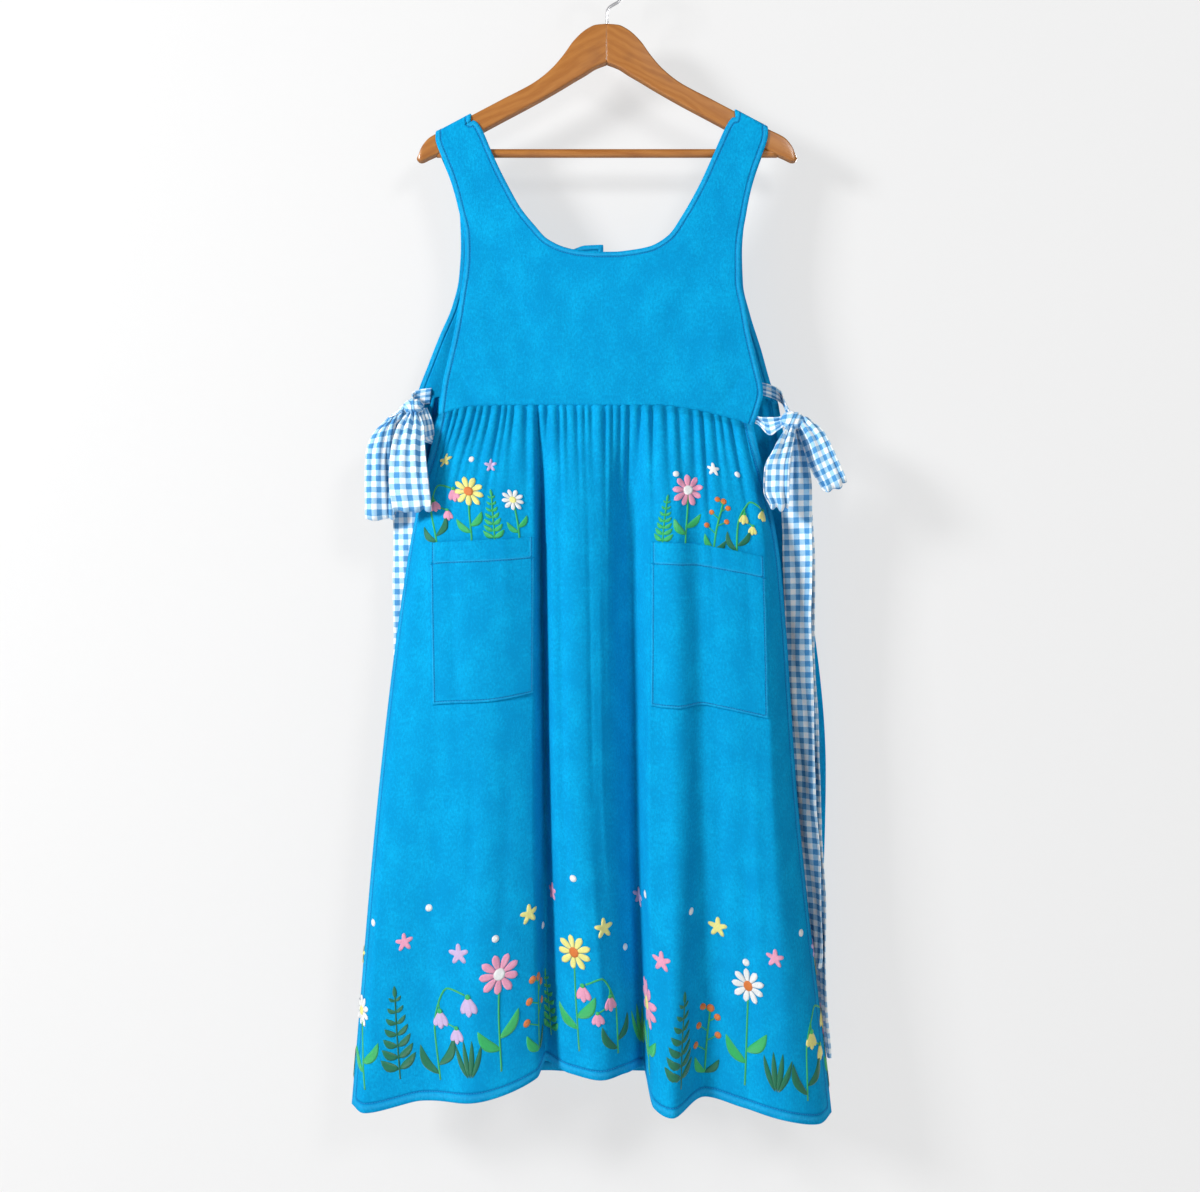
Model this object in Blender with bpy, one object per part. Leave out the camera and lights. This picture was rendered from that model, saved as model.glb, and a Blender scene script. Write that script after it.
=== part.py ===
"""An apron dress hanging on a wooden hanger, modelled in Blender. Metres, +Z up, front towards -Y.

The origin is the top of the inside of the hook. Every piece of cloth is a thin wall grown from a
middle surface, and every surface comes from the short tables below."""

import math

import bpy
import bmesh
from mathutils import Vector

# Thickness of each cloth wall, and the gaps where pieces are sewn or lie on each other
BODICE_WALL = 0.0018
SKIRT_WALL = 0.0014
POCKET_WALL = 0.0013
TIE_WALL = 0.0012
SEAM_GAP = 0.0003
LAY_GAP = 0.0004
SEAM_SAG = 0.0005  # the long chords of a bodice's foot dip this far below its arched seam

# Hanger: half width from the middle, height of the top edge, height of the under edge
ARM = (
    (0.0000, -0.0620, -0.1080),
    (0.0130, -0.0632, -0.1130),
    (0.0250, -0.0690, -0.1205),
    (0.0395, -0.0825, -0.1290),
    (0.0510, -0.0985, -0.1360),
    (0.0655, -0.1150, -0.1445),
    (0.0850, -0.1305, -0.1555),
    (0.1225, -0.1505, -0.1755),
    (0.1580, -0.1692, -0.1945),
    (0.1900, -0.1862, -0.2115),
    (0.2080, -0.1955, -0.2195),
    (0.2170, -0.2060, -0.2235),
    (0.2215, -0.2160, -0.2240),
)
ARM_HALF_DEPTH = 0.0065
ARM_ROUND = 0.0030
BAR_RADIUS = 0.0050
BAR_HEIGHT = -0.2129
BAR_HALF_LENGTH = 0.1995
BAR_BORE_CLEARANCE = 0.0003
HOOK_WIRE = 0.0017
HOOK_BOW = 0.0207
HOOK_STEM = ((0, 0, -0.0520), (0.0003, 0, -0.0465), (0.0025, 0, -0.0420))
BORE_START = 0.150

# Bodice: height of an armhole edge and its place across, from the waist seam up to the shoulder
FRONT_LEFT_ARMHOLE = (
    (-0.5222, -0.1945),
    (-0.4867, -0.1899),
    (-0.4587, -0.1840),
    (-0.4273, -0.1770),
    (-0.3920, -0.1712),
    (-0.3350, -0.1646),
    (-0.3109, -0.1654),
    (-0.2850, -0.1715),
    (-0.2567, -0.1787),
    (-0.2212, -0.1899),
    (-0.1900, -0.1996),
)
FRONT_RIGHT_ARMHOLE = (
    (-0.5347, 0.1693),
    (-0.5158, 0.1757),
    (-0.4966, 0.1800),
    (-0.4634, 0.1734),
    (-0.4273, 0.1653),
    (-0.3924, 0.1594),
    (-0.3679, 0.1548),
    (-0.3330, 0.1548),
    (-0.2850, 0.1618),
    (-0.2567, 0.1676),
    (-0.2131, 0.1800),
    (-0.1900, 0.1874),
)
BACK_LEFT_ARMHOLE = (
    (-0.5063, -0.2248),
    (-0.4974, -0.2236),
    (-0.4589, -0.2099),
    (-0.4246, -0.1964),
    (-0.3915, -0.1822),
    (-0.3571, -0.1739),
    (-0.3187, -0.1716),
    (-0.2850, -0.1727),
    (-0.2506, -0.1810),
    (-0.2139, -0.1929),
    (-0.1900, -0.1996),
)
BACK_RIGHT_ARMHOLE = (
    (-0.5051, 0.2019),
    (-0.4826, 0.1930),
    (-0.4412, 0.1812),
    (-0.3997, 0.1681),
    (-0.3642, 0.1599),
    (-0.3264, 0.1587),
    (-0.2850, 0.1622),
    (-0.2482, 0.1705),
    (-0.2044, 0.1830),
    (-0.1850, 0.1874),
)

# Neckline: place across and height, from the centre edge out to the shoulder
FRONT_LEFT_NECK = (
    (-0.0100, -0.3330),
    (-0.0300, -0.3315),
    (-0.0479, -0.3279),
    (-0.0700, -0.3174),
    (-0.0852, -0.3010),
    (-0.1009, -0.2812),
    (-0.1166, -0.2532),
    (-0.1353, -0.2156),
    (-0.1481, -0.1875),
    (-0.1598, -0.1670),
)
FRONT_RIGHT_NECK = (
    (-0.0100, -0.3330),
    (0.0100, -0.3328),
    (0.0244, -0.3313),
    (0.0489, -0.3267),
    (0.0711, -0.3139),
    (0.0897, -0.2871),
    (0.1084, -0.2532),
    (0.1235, -0.2206),
    (0.1381, -0.1903),
    (0.1503, -0.1680),
)
BACK_LEFT_NECK = (
    (-0.0050, -0.3185),
    (-0.0260, -0.3195),
    (-0.0400, -0.3240),
    (-0.0560, -0.3275),
    (-0.0760, -0.3200),
    (-0.0900, -0.3060),
    (-0.1040, -0.2850),
    (-0.1190, -0.2580),
    (-0.1370, -0.2200),
    (-0.1500, -0.1900),
    (-0.1598, -0.1670),
)
BACK_RIGHT_NECK = (
    (-0.0300, -0.3365),
    (0.0000, -0.3375),
    (0.0300, -0.3360),
    (0.0550, -0.3290),
    (0.0760, -0.3160),
    (0.0930, -0.2920),
    (0.1100, -0.2600),
    (0.1255, -0.2270),
    (0.1400, -0.1950),
    (0.1503, -0.1680),
)

# How far the bodice stands from the hanger's plane: height, front, back
BODICE_STAND = (
    (-0.5400, 0.0245, 0.0105),
    (-0.5110, 0.0240, 0.0100),
    (-0.4200, 0.0205, 0.0095),
    (-0.3300, 0.0165, 0.0090),
    (-0.2500, 0.0110, 0.0082),
    (-0.2100, 0.0080, 0.0080),
    (-0.1600, 0.0080, 0.0080),
)
STRAP_COLUMNS = 6
NECK_COLUMNS = 8
PANEL_ROWS = 8
STRAP_ROWS = 6
STRAP_FOOT_SHARE = 0.42
STRAP_ROOT_ARM = -0.2850
STRAP_ROOT_NECK = 0.100
STRAP_END_DROP = 0.0090
SHOULDER_TURN = 0.0045
SHOULDER_LIFT = 0.00495
BACK_LAP = 0.0022
BACK_LAP_END = 0.055
BUTTON_HEIGHTS = (-0.355, -0.412, -0.469)
BUTTON_ACROSS = -0.0175
BUTTON_RADIUS = 0.0075
BUTTON_DEPTH = 0.0030

# Waist seam: place across and height
FRONT_WAIST = (
    (-0.1945, -0.5225),
    (-0.1784, -0.5171),
    (-0.1575, -0.5124),
    (-0.0985, -0.5113),
    (0.0601, -0.5113),
    (0.0913, -0.5148),
    (0.1237, -0.5217),
    (0.1527, -0.5298),
    (0.1693, -0.5350),
)
BACK_WAIST = (
    (-0.2248, -0.5066),
    (-0.2000, -0.4975),
    (-0.1500, -0.4950),
    (0.1300, -0.4950),
    (0.1800, -0.4980),
    (0.2019, -0.5054),
)

# Skirt folds: place across at the seam; across and out at the hip; the same half way down;
# across, out and height at the hem
FRONT_FOLDS = (
    (-0.1945, -0.230, 0.016, -0.265, 0.018, -0.295, 0.024, -1.320),
    (-0.1860, -0.220, 0.034, -0.250, 0.040, -0.277, 0.048, -1.322),
    (-0.1680, -0.201, 0.046, -0.197, 0.052, -0.213, 0.050, -1.307),
    (-0.1240, -0.143, 0.052, -0.139, 0.062, -0.148, 0.072, -1.302),
    (-0.0860, -0.084, 0.044, -0.085, 0.048, -0.080, 0.054, -1.280),
    (-0.0780, -0.077, 0.020, -0.072, 0.018, -0.071, 0.020, -1.271),
    (-0.0680, -0.064, 0.046, -0.060, 0.046, -0.045, 0.044, -1.277),
    (-0.0410, -0.035, 0.054, -0.031, 0.060, -0.008, 0.062, -1.280),
    (-0.0040, -0.003, 0.048, -0.001, 0.048, 0.021, 0.046, -1.277),
    (0.0310, 0.028, 0.022, 0.032, 0.018, 0.042, 0.020, -1.278),
    (0.0500, 0.051, 0.050, 0.049, 0.054, 0.053, 0.060, -1.312),
    (0.0700, 0.076, 0.058, 0.078, 0.066, 0.073, 0.076, -1.318),
    (0.0980, 0.104, 0.048, 0.111, 0.050, 0.112, 0.042, -1.305),
    (0.1210, 0.135, 0.050, 0.146, 0.056, 0.153, 0.054, -1.313),
    (0.1520, 0.179, 0.046, 0.185, 0.058, 0.205, 0.072, -1.323),
    (0.1620, 0.189, 0.034, 0.207, 0.040, 0.242, 0.056, -1.331),
    (0.1693, 0.201, 0.016, 0.221, 0.018, 0.259, 0.026, -1.329),
)
BACK_FOLDS = (
    (-0.2248, -0.249, 0.022, -0.256, 0.024, -0.273, 0.026, -1.297),
    (-0.2100, -0.234, 0.029, -0.240, 0.032, -0.250, 0.038, -1.300),
    (-0.1800, -0.195, 0.025, -0.200, 0.024, -0.205, 0.022, -1.296),
    (-0.1500, -0.160, 0.034, -0.162, 0.040, -0.165, 0.046, -1.303),
    (-0.1150, -0.120, 0.026, -0.118, 0.023, -0.115, 0.018, -1.296),
    (-0.0800, -0.082, 0.036, -0.078, 0.042, -0.072, 0.050, -1.305),
    (-0.0480, -0.046, 0.028, -0.040, 0.024, -0.028, 0.019, -1.297),
    (-0.0120, -0.008, 0.036, 0.000, 0.044, 0.012, 0.048, -1.304),
    (0.0260, 0.030, 0.025, 0.036, 0.022, 0.046, 0.018, -1.295),
    (0.0620, 0.068, 0.036, 0.076, 0.042, 0.088, 0.050, -1.305),
    (0.1000, 0.108, 0.027, 0.118, 0.023, 0.130, 0.021, -1.297),
    (0.1350, 0.148, 0.036, 0.160, 0.040, 0.174, 0.044, -1.303),
    (0.1680, 0.186, 0.028, 0.205, 0.028, 0.212, 0.028, -1.297),
    (0.1900, 0.214, 0.030, 0.240, 0.036, 0.234, 0.036, -1.299),
    (0.2019, 0.231, 0.025, 0.261, 0.030, 0.247, 0.028, -1.296),
)
HIP = 0.20
MIDDLE = 0.55
FRONT_ROWS = (0, 0.010, 0.024, 0.044, 0.075, 0.115, 0.160, 0.184, 0.262, 0.345, 0.450, 0.570, 0.690, 0.800)
BACK_ROWS = (0, 0.010, 0.026, 0.050, 0.090, 0.160, 0.260, 0.390, 0.530, 0.670, 0.800)
SKIRT_LENGTH = 0.800
POCKET_TOP = 0.160
POCKET_FOOT = 0.345

# Gathers of the front: place of the crease at the seam, depth and run, both in millimetres
FRONT_GATHERS = (
    (-0.1881, 1.8, 45),
    (-0.1784, 2.2, 60),
    (-0.1718, 1.7, 45),
    (-0.1622, 2.4, 70),
    (-0.1510, 2.6, 85),
    (-0.1436, 1.8, 50),
    (-0.1347, 2.4, 75),
    (-0.1221, 2.8, 95),
    (-0.1159, 1.7, 45),
    (-0.1083, 2.2, 60),
    (-0.0933, 2.8, 80),
    (-0.0807, 3.4, 140),
    (-0.0696, 2.4, 70),
    (-0.0557, 2.8, 90),
    (-0.0480, 1.8, 50),
    (-0.0355, 2.6, 80),
    (-0.0267, 1.9, 50),
    (-0.0192, 1.9, 60),
    (-0.0017, 3.2, 110),
    (0.0057, 1.7, 45),
    (0.0149, 2.2, 70),
    (0.0248, 3.2, 120),
    (0.0392, 2.6, 80),
    (0.0520, 3.2, 120),
    (0.0688, 2.6, 85),
    (0.0821, 2.4, 75),
    (0.0991, 2.6, 90),
    (0.1094, 3.2, 130),
    (0.1237, 2.4, 70),
    (0.1314, 1.8, 50),
    (0.1417, 3.0, 115),
    (0.1585, 2.2, 60),
)
BACK_GATHERS = 32
BACK_GATHER_INSET = 0.006
BACK_GATHER_DRIFT = 0.0016
GATHER_START = 0.6  # share of its depth that a gather has at the seam
GATHER_RISE = 0.020
GATHER_FADE = 1.6
NEAREST_COLUMN = 0.0017
CUT_REACH = 0.0004
MILLI = 0.001

# Ribbons of the ties: centre across, deep and high, width, turn about the upright, tilt in view
LEFT_TIES = {
    "tie_front_left": (
        (-0.1975, -0.0203, -0.5545, 0.012, 0, 15),
        (-0.2065, -0.0203, -0.5490, 0.014, 0, 18),
        (-0.2085, -0.0240, -0.5330, 0.013, 0, 12),
        (-0.2073, -0.0262, -0.5175, 0.010, 0, 8),
    ),
    "tie_back_left": (
        (-0.2080, 0.0080, -0.4960, 0.018, 0, 85),
        (-0.2190, 0.0080, -0.4975, 0.018, 0, 85),
        (-0.2290, 0.0040, -0.5010, 0.016, 60, 85),
        (-0.2275, -0.0060, -0.5060, 0.011, 90, 90),
        (-0.2245, -0.0140, -0.5110, 0.009, 90, 90),
    ),
    "loop_front_left": (
        (-0.2240, -0.0330, -0.5248, 0.012, 0, 0),
        (-0.2250, -0.0430, -0.5400, 0.030, 0, 0),
        (-0.2265, -0.0530, -0.5700, 0.039, 0, 0),
        (-0.2250, -0.0570, -0.6050, 0.044, 0, 0),
        (-0.2220, -0.0560, -0.6290, 0.043, 0, 3),
        (-0.2218, -0.0515, -0.6345, 0.042, 0, 3),
        (-0.2225, -0.0470, -0.6290, 0.042, 0, 3),
        (-0.2250, -0.0450, -0.6050, 0.042, 0, 0),
        (-0.2265, -0.0420, -0.5700, 0.037, 0, 0),
        (-0.2250, -0.0350, -0.5420, 0.026, 0, 0),
        (-0.2240, -0.0270, -0.5262, 0.011, 0, 0),
    ),
    "loop_rear_left": (
        (-0.2368, -0.0290, -0.5150, 0.012, 0, 60),
        (-0.2460, -0.0270, -0.5230, 0.018, 0, 40),
        (-0.2590, -0.0250, -0.5430, 0.027, 0, 15),
        (-0.2640, -0.0250, -0.5750, 0.031, 0, 0),
        (-0.2632, -0.0250, -0.6150, 0.033, 0, 0),
        (-0.2630, -0.0240, -0.6360, 0.033, 0, 0),
        (-0.2630, -0.0190, -0.6420, 0.033, 0, 0),
        (-0.2630, -0.0140, -0.6360, 0.033, 0, 0),
        (-0.2625, -0.0120, -0.6100, 0.032, 0, 0),
        (-0.2590, -0.0120, -0.5700, 0.030, 0, 8),
        (-0.2500, -0.0140, -0.5360, 0.022, 0, 30),
        (-0.2370, -0.0200, -0.5200, 0.011, 0, 55),
    ),
    "tail_left": (
        (-0.2240, -0.0205, -0.5250, 0.010, 0, 0),
        (-0.2310, -0.0095, -0.5600, 0.030, -10, 0),
        (-0.2350, -0.0070, -0.6200, 0.036, -20, 0),
        (-0.2345, -0.0030, -0.7000, 0.036, -24, 0),
        (-0.2340, -0.0010, -0.8200, 0.036, -20, 0),
        (-0.2350, 0.0000, -0.9500, 0.036, -14, 0),
        (-0.2385, 0.0000, -1.0800, 0.036, -8, 4),
        (-0.2400, 0.0000, -1.1300, 0.036, -8, 14),
    ),
    "tail_under_left": (
        (-0.2240, -0.0150, -0.5250, 0.010, 0, 0),
        (-0.2270, -0.0040, -0.5600, 0.028, -10, 0),
        (-0.2290, -0.0005, -0.6200, 0.036, -20, 0),
        (-0.2280, 0.0035, -0.7000, 0.036, -24, 0),
        (-0.2270, 0.0055, -0.8200, 0.036, -20, 0),
        (-0.2280, 0.0060, -0.9500, 0.036, -14, 4),
        (-0.2280, 0.0060, -1.0100, 0.036, -14, 16),
    ),
}
RIGHT_TIES = {
    "tie_front_right": (
        (0.1600, -0.0223, -0.5240, 0.009, 0, -75),
        (0.1735, -0.0222, -0.5285, 0.010, 0, -75),
        (0.1860, -0.0280, -0.5365, 0.021, 0, -75),
        (0.1955, -0.0310, -0.5340, 0.015, 0, -80),
        (0.1985, -0.0310, -0.5320, 0.012, 0, -80),
    ),
    "tie_back_right": (
        (0.1820, 0.0080, -0.4880, 0.014, 0, 90),
        (0.1905, 0.0080, -0.4900, 0.014, 0, 90),
        (0.2045, 0.0040, -0.4980, 0.014, -55, 90),
        (0.2090, -0.0070, -0.5110, 0.011, -90, 90),
        (0.2110, -0.0170, -0.5200, 0.009, -90, 90),
    ),
    "loop_inner_right": (
        (0.2090, -0.0400, -0.5410, 0.012, 0, 20),
        (0.2020, -0.0480, -0.5590, 0.022, 0, 14),
        (0.1940, -0.0530, -0.5880, 0.026, 0, 0),
        (0.1932, -0.0550, -0.6120, 0.026, 0, 0),
        (0.1960, -0.0540, -0.6270, 0.020, 0, 0),
        (0.1965, -0.0490, -0.6315, 0.019, 0, 0),
        (0.1955, -0.0440, -0.6270, 0.020, 0, 0),
        (0.1915, -0.0425, -0.6120, 0.025, 0, 0),
        (0.1925, -0.0420, -0.5880, 0.025, 0, 0),
        (0.2010, -0.0400, -0.5610, 0.020, 0, 14),
        (0.2080, -0.0350, -0.5430, 0.011, 0, 20),
    ),
    "loop_outer_right": (
        (0.2300, -0.0360, -0.5280, 0.012, 0, 30),
        (0.2385, -0.0440, -0.5490, 0.021, 0, 28),
        (0.2490, -0.0490, -0.5760, 0.024, 0, 28),
        (0.2600, -0.0490, -0.6010, 0.024, 0, 30),
        (0.2625, -0.0440, -0.6070, 0.024, 0, 30),
        (0.2590, -0.0380, -0.6040, 0.025, 0, 30),
        (0.2450, -0.0320, -0.5800, 0.025, 0, 28),
        (0.2350, -0.0300, -0.5560, 0.020, 0, 28),
        (0.2280, -0.0290, -0.5365, 0.011, 0, 30),
    ),
    "tail_right": (
        (0.2170, -0.0250, -0.5395, 0.010, 0, 0),
        (0.2190, -0.0235, -0.5750, 0.027, -5, 0),
        (0.2195, -0.0200, -0.6220, 0.036, -20, 0),
        (0.2225, -0.0110, -0.7000, 0.036, -34, 0),
        (0.2236, -0.0070, -0.7935, 0.036, -39, 0),
        (0.2265, -0.0060, -0.8700, 0.036, -41, 0),
        (0.2291, -0.0055, -0.9215, 0.036, -49, 0),
        (0.2340, -0.0050, -1.0200, 0.036, -51, 0),
        (0.2395, -0.0050, -1.1050, 0.036, -57, 0),
        (0.2420, -0.0050, -1.1500, 0.034, -60, 8),
        (0.2430, -0.0050, -1.1700, 0.026, -62, 20),
    ),
    "tail_under_right": (
        (0.2150, -0.0215, -0.5375, 0.009, 0, 0),
        (0.2190, -0.0170, -0.5750, 0.024, -5, 0),
        (0.2210, -0.0120, -0.6220, 0.034, -20, 0),
        (0.2270, -0.0020, -0.7000, 0.036, -34, 0),
        (0.2285, 0.0020, -0.7935, 0.036, -39, 0),
        (0.2320, 0.0030, -0.8700, 0.036, -41, 0),
        (0.2355, 0.0030, -0.9215, 0.036, -49, 0),
        (0.2400, 0.0020, -1.0200, 0.036, -51, 0),
        (0.2450, 0.0010, -1.1049, 0.036, -60, 0),
        (0.2500, 0.0000, -1.1900, 0.034, -70, 0),
        (0.2555, 0.0000, -1.2350, 0.022, -72, 0),
        (0.2610, 0.0000, -1.2740, 0.005, -72, 0),
    ),
}
KNOTS = {
    "knot_left": ((-0.2235, -0.0260, -0.5135), (0.0115, 0.0110, 0.0090)),
    "knot_right": ((0.2135, -0.0300, -0.5300), (0.0135, 0.0110, 0.0105)),
}
KNOT_GAP = 0.0006
KNOT_CREASE = 0.03
SEAT_STEP = 0.0001
RIBBON_LENGTH_STEPS = 2
RIBBON_WIDTH_STEPS = 3

BLUE = (0.045, 0.330, 0.790, 1.0)
DEEP_BLUE = (0.040, 0.300, 0.740, 1.0)
GINGHAM = (0.420, 0.640, 0.860, 1.0)
WOOD = (0.420, 0.190, 0.060, 1.0)
STEEL = (0.700, 0.700, 0.720, 1.0)
HORN = (0.720, 0.780, 0.840, 1.0)


def material(name, colour, roughness, metallic=0.0):
    made = bpy.data.materials.new(name)
    made.use_nodes = True
    surface = made.node_tree.nodes["Principled BSDF"]
    surface.inputs["Base Color"].default_value = colour
    surface.inputs["Roughness"].default_value = roughness
    surface.inputs["Metallic"].default_value = metallic
    made.diffuse_color = colour
    return made


def read(rows, place):
    """Values of a table at a place along its first column, on a smooth curve with no overshoot."""
    if rows[0][0] > rows[-1][0]:
        rows = rows[::-1]
    knots = [row[0] for row in rows]
    place = min(max(place, knots[0]), knots[-1])
    i = 0
    while i < len(knots) - 2 and place > knots[i + 1]:
        i += 1
    span = knots[i + 1] - knots[i]
    t = (place - knots[i]) / span
    values = []
    for column in range(1, len(rows[0])):
        slopes = []
        for j in (i - 1, i, i + 1):
            if 0 <= j < len(knots) - 1:
                slopes.append((rows[j + 1][column] - rows[j][column]) / (knots[j + 1] - knots[j]))
            else:
                slopes.append(None)
        start = bend(slopes[0], slopes[1])
        end = bend(slopes[2], slopes[1])
        a, b = rows[i][column], rows[i + 1][column]
        values.append(
            a * (1 + 2 * t) * (1 - t) ** 2
            + span * start * t * (1 - t) ** 2
            + b * t * t * (3 - 2 * t)
            - span * end * t * t * (1 - t)
        )
    return values


def bend(outer, inner):
    """Slope where two stretches of a table meet, which is level at a peak."""
    if outer is None:
        return inner
    if outer * inner <= 0:
        return 0.0
    return 2 * outer * inner / (outer + inner)


def between(a, b, t):
    return a + (b - a) * t


def finish(name, mesh, look):
    """Makes the object, with its faces turned outwards and its smooth parts shaded so."""
    mesh.normal_update()
    bmesh.ops.recalc_face_normals(mesh, faces=mesh.faces)
    data = bpy.data.meshes.new(name)
    mesh.to_mesh(data)
    mesh.free()
    data.shade_smooth()
    data.set_sharp_from_angle(angle=math.radians(50))
    data.materials.append(look)
    made = bpy.data.objects.new(name, data)
    bpy.context.collection.objects.link(made)
    return made


def joined(grids):
    """One list of points and quads from grids that share points along an edge."""
    places = {}
    points = []
    quads = []
    for grid in grids:
        numbers = []
        for row in grid:
            line = []
            for point in row:
                key = tuple(round(value * 1e6) for value in point)
                if key not in places:
                    places[key] = len(points)
                    points.append(point)
                line.append(places[key])
            numbers.append(line)
        for upper, lower in zip(numbers, numbers[1:]):
            for k in range(len(upper) - 1):
                quads.append((upper[k], upper[k + 1], lower[k + 1], lower[k]))
    return points, quads


def normals_of(points, quads):
    found = [Vector() for _ in points]
    for quad in quads:
        across = points[quad[2]] - points[quad[0]]
        along = points[quad[3]] - points[quad[1]]
        for corner in quad:
            found[corner] += across.cross(along)
    return [normal.normalized() for normal in found]


def wall(name, grids, thickness, look, level_at=()):
    """A cloth wall of even thickness about a middle surface. At the heights in level_at, which
    are functions of the place across, the wall's end is cut level, as at a seam."""
    points, quads = joined(grids)
    normals = normals_of(points, quads)
    for k, point in enumerate(points):
        if any(abs(point.z - height(point.x)) < CUT_REACH for height in level_at):
            normals[k] = Vector((normals[k].x, normals[k].y, 0)).normalized()
    mesh = bmesh.new()
    near = [mesh.verts.new(p + n * thickness / 2) for p, n in zip(points, normals)]
    far = [mesh.verts.new(p - n * thickness / 2) for p, n in zip(points, normals)]
    edges = {}
    for quad in quads:
        mesh.faces.new([near[k] for k in quad])
        mesh.faces.new([far[k] for k in reversed(quad)])
        for start, end in zip(quad, quad[1:] + quad[:1]):
            if (end, start) in edges:
                del edges[(end, start)]
            else:
                edges[(start, end)] = True
    for start, end in edges:
        mesh.faces.new((near[end], near[start], far[start], far[end]))
    return finish(name, mesh, look)


def arm_top(across):
    return read(ARM, abs(across))[0]


def front_seam(across):
    return read(FRONT_WAIST, across)[0]


def back_seam(across):
    return read(BACK_WAIST, across)[0]


def stand(height, side):
    """How far the bodice lies from the hanger's plane. side is -1 in front and 1 behind."""
    return side * read(BODICE_STAND, height)[0 if side < 0 else 1]


def bodice_half(armhole, neck, seam, side, lap=0.0):
    """Grids of half a bodice: the panel below the strap's root, the strap, and its turn over the arm."""
    outward = 1 if armhole[0][1] > 0 else -1
    centre = neck[0][0]
    root_x = outward * STRAP_ROOT_NECK
    arm_foot = armhole[0][1]
    root_arm_x = read(armhole, STRAP_ROOT_ARM)[0]

    def place(x, z):
        depth = stand(z, side)
        if lap:
            depth += lap * max(0.0, 1 - max(0.0, x) / BACK_LAP_END)
        return Vector((x, depth, z))

    columns = []
    for k in range(STRAP_COLUMNS + 1):
        part = k / STRAP_COLUMNS
        top_x = between(root_arm_x, root_x, part)
        top_z = between(STRAP_ROOT_ARM, read(neck, root_x)[0], part)
        columns.append((STRAP_FOOT_SHARE * part, top_x, top_z))
    for k in range(1, NECK_COLUMNS + 1):
        part = k / NECK_COLUMNS
        top_x = between(root_x, centre, part)
        columns.append((between(STRAP_FOOT_SHARE, 1, part), top_x, read(neck, top_x)[0]))
    panel = []
    for row in range(PANEL_ROWS + 1):
        up = row / PANEL_ROWS
        line = []
        for share, top_x, top_z in columns:
            foot_x = between(arm_foot, centre, share)
            z = between(seam(foot_x) + SEAM_GAP / 2 + SEAM_SAG, top_z, up)
            x = between(foot_x, top_x, up)
            straight = between(arm_foot, root_arm_x, up)
            bow = read(armhole, between(armhole[0][0], STRAP_ROOT_ARM, up))[0] - straight
            line.append(place(x + bow * (1 - share) ** 2, z))
        panel.append(line)

    arm_end = armhole[-1][1]
    neck_end = neck[-1][0]
    strap = [panel[-1][: STRAP_COLUMNS + 1]]
    for row in range(1, STRAP_ROWS + 1):
        up = row / STRAP_ROWS
        arm_z = between(STRAP_ROOT_ARM, arm_top(arm_end) - STRAP_END_DROP, up)
        neck_x = between(root_x, neck_end, up)
        neck_z = read(neck, neck_x)[0]
        neck_z = between(neck_z, arm_top(neck_end) - STRAP_END_DROP, up**6)
        arm_x = between(read(armhole, arm_z)[0], arm_end, up**6)
        line = []
        for k in range(STRAP_COLUMNS + 1):
            part = k / STRAP_COLUMNS
            line.append(place(between(arm_x, neck_x, part), between(arm_z, neck_z, part)))
        strap.append(line)

    inner = ARM_HALF_DEPTH - ARM_ROUND
    for angle in (0, 30, 60, 90, None):
        line = []
        for k in range(STRAP_COLUMNS + 1):
            x = between(arm_end, neck_end, k / STRAP_COLUMNS)
            out = SEAM_GAP / 2
            rise = SHOULDER_LIFT
            if angle is not None:
                out = inner + SHOULDER_TURN * math.cos(math.radians(angle))
                rise = SHOULDER_LIFT * math.sin(math.radians(angle))
            line.append(Vector((x, side * out, arm_top(x) - ARM_ROUND + rise)))
        strap.append(line)
    return [panel, strap]


def gather(gathers, across, down):
    """Depth of the gathers at a place across the seam and a length down from it."""
    if across <= gathers[0][0] or across >= gathers[-1][0]:
        return 0.0
    k = 0
    while across > gathers[k + 1][0]:
        k += 1
    part = (across - gathers[k][0]) / (gathers[k + 1][0] - gathers[k][0])
    depth = between(gathers[k][1], gathers[k + 1][1], part) * MILLI
    run = between(gathers[k][2], gathers[k + 1][2], part) * MILLI
    strength = min(1.0, GATHER_START + down / GATHER_RISE) * math.exp(-((down / run) ** GATHER_FADE))
    return -depth * math.cos(2 * math.pi * part) * strength


def back_gathers():
    """Evenly spaced gathers with a slow drift in pitch and depth."""
    first, last = BACK_FOLDS[0][0] + BACK_GATHER_INSET, BACK_FOLDS[-1][0] - BACK_GATHER_INSET
    rows = []
    for k in range(BACK_GATHERS):
        across = between(first, last, k / (BACK_GATHERS - 1)) + BACK_GATHER_DRIFT * math.sin(2.4 * k)
        rows.append((across, 2.2 + 0.7 * math.sin(1.7 * k), 65 + 30 * math.sin(2.9 * k)))
    return tuple(rows)


def skirt_point(folds, gathers, seam, side, across, down):
    """A point of a skirt from its place across at the seam and its length down from it."""
    row = read(folds, across)
    hip_x, hip_out, middle_x, middle_out, hem_x, hem_out, hem_z = row
    waist_out = abs(stand(seam(across), side))
    levels = (
        (0.0, across, waist_out),
        (HIP, hip_x, hip_out),
        (MIDDLE, middle_x, middle_out),
        (1.0, hem_x, hem_out),
    )
    share = down / SKIRT_LENGTH
    x, out = read(levels, share)
    top = seam(across) - SEAM_GAP / 2
    z = between(top, hem_z, share)
    return Vector((x, side * (out + gather(gathers, across, down)), z))


def skirt_columns(folds, gathers):
    """Places across at the seam: every fold, every gather's crease and the crest between two."""
    places = [row[0] for row in folds]
    more = [row[0] for row in gathers]
    more += [(a[0] + b[0]) / 2 for a, b in zip(gathers, gathers[1:])]
    for place in more:
        if min(abs(place - other) for other in places) > NEAREST_COLUMN:
            places.append(place)
    return sorted(places)


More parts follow.
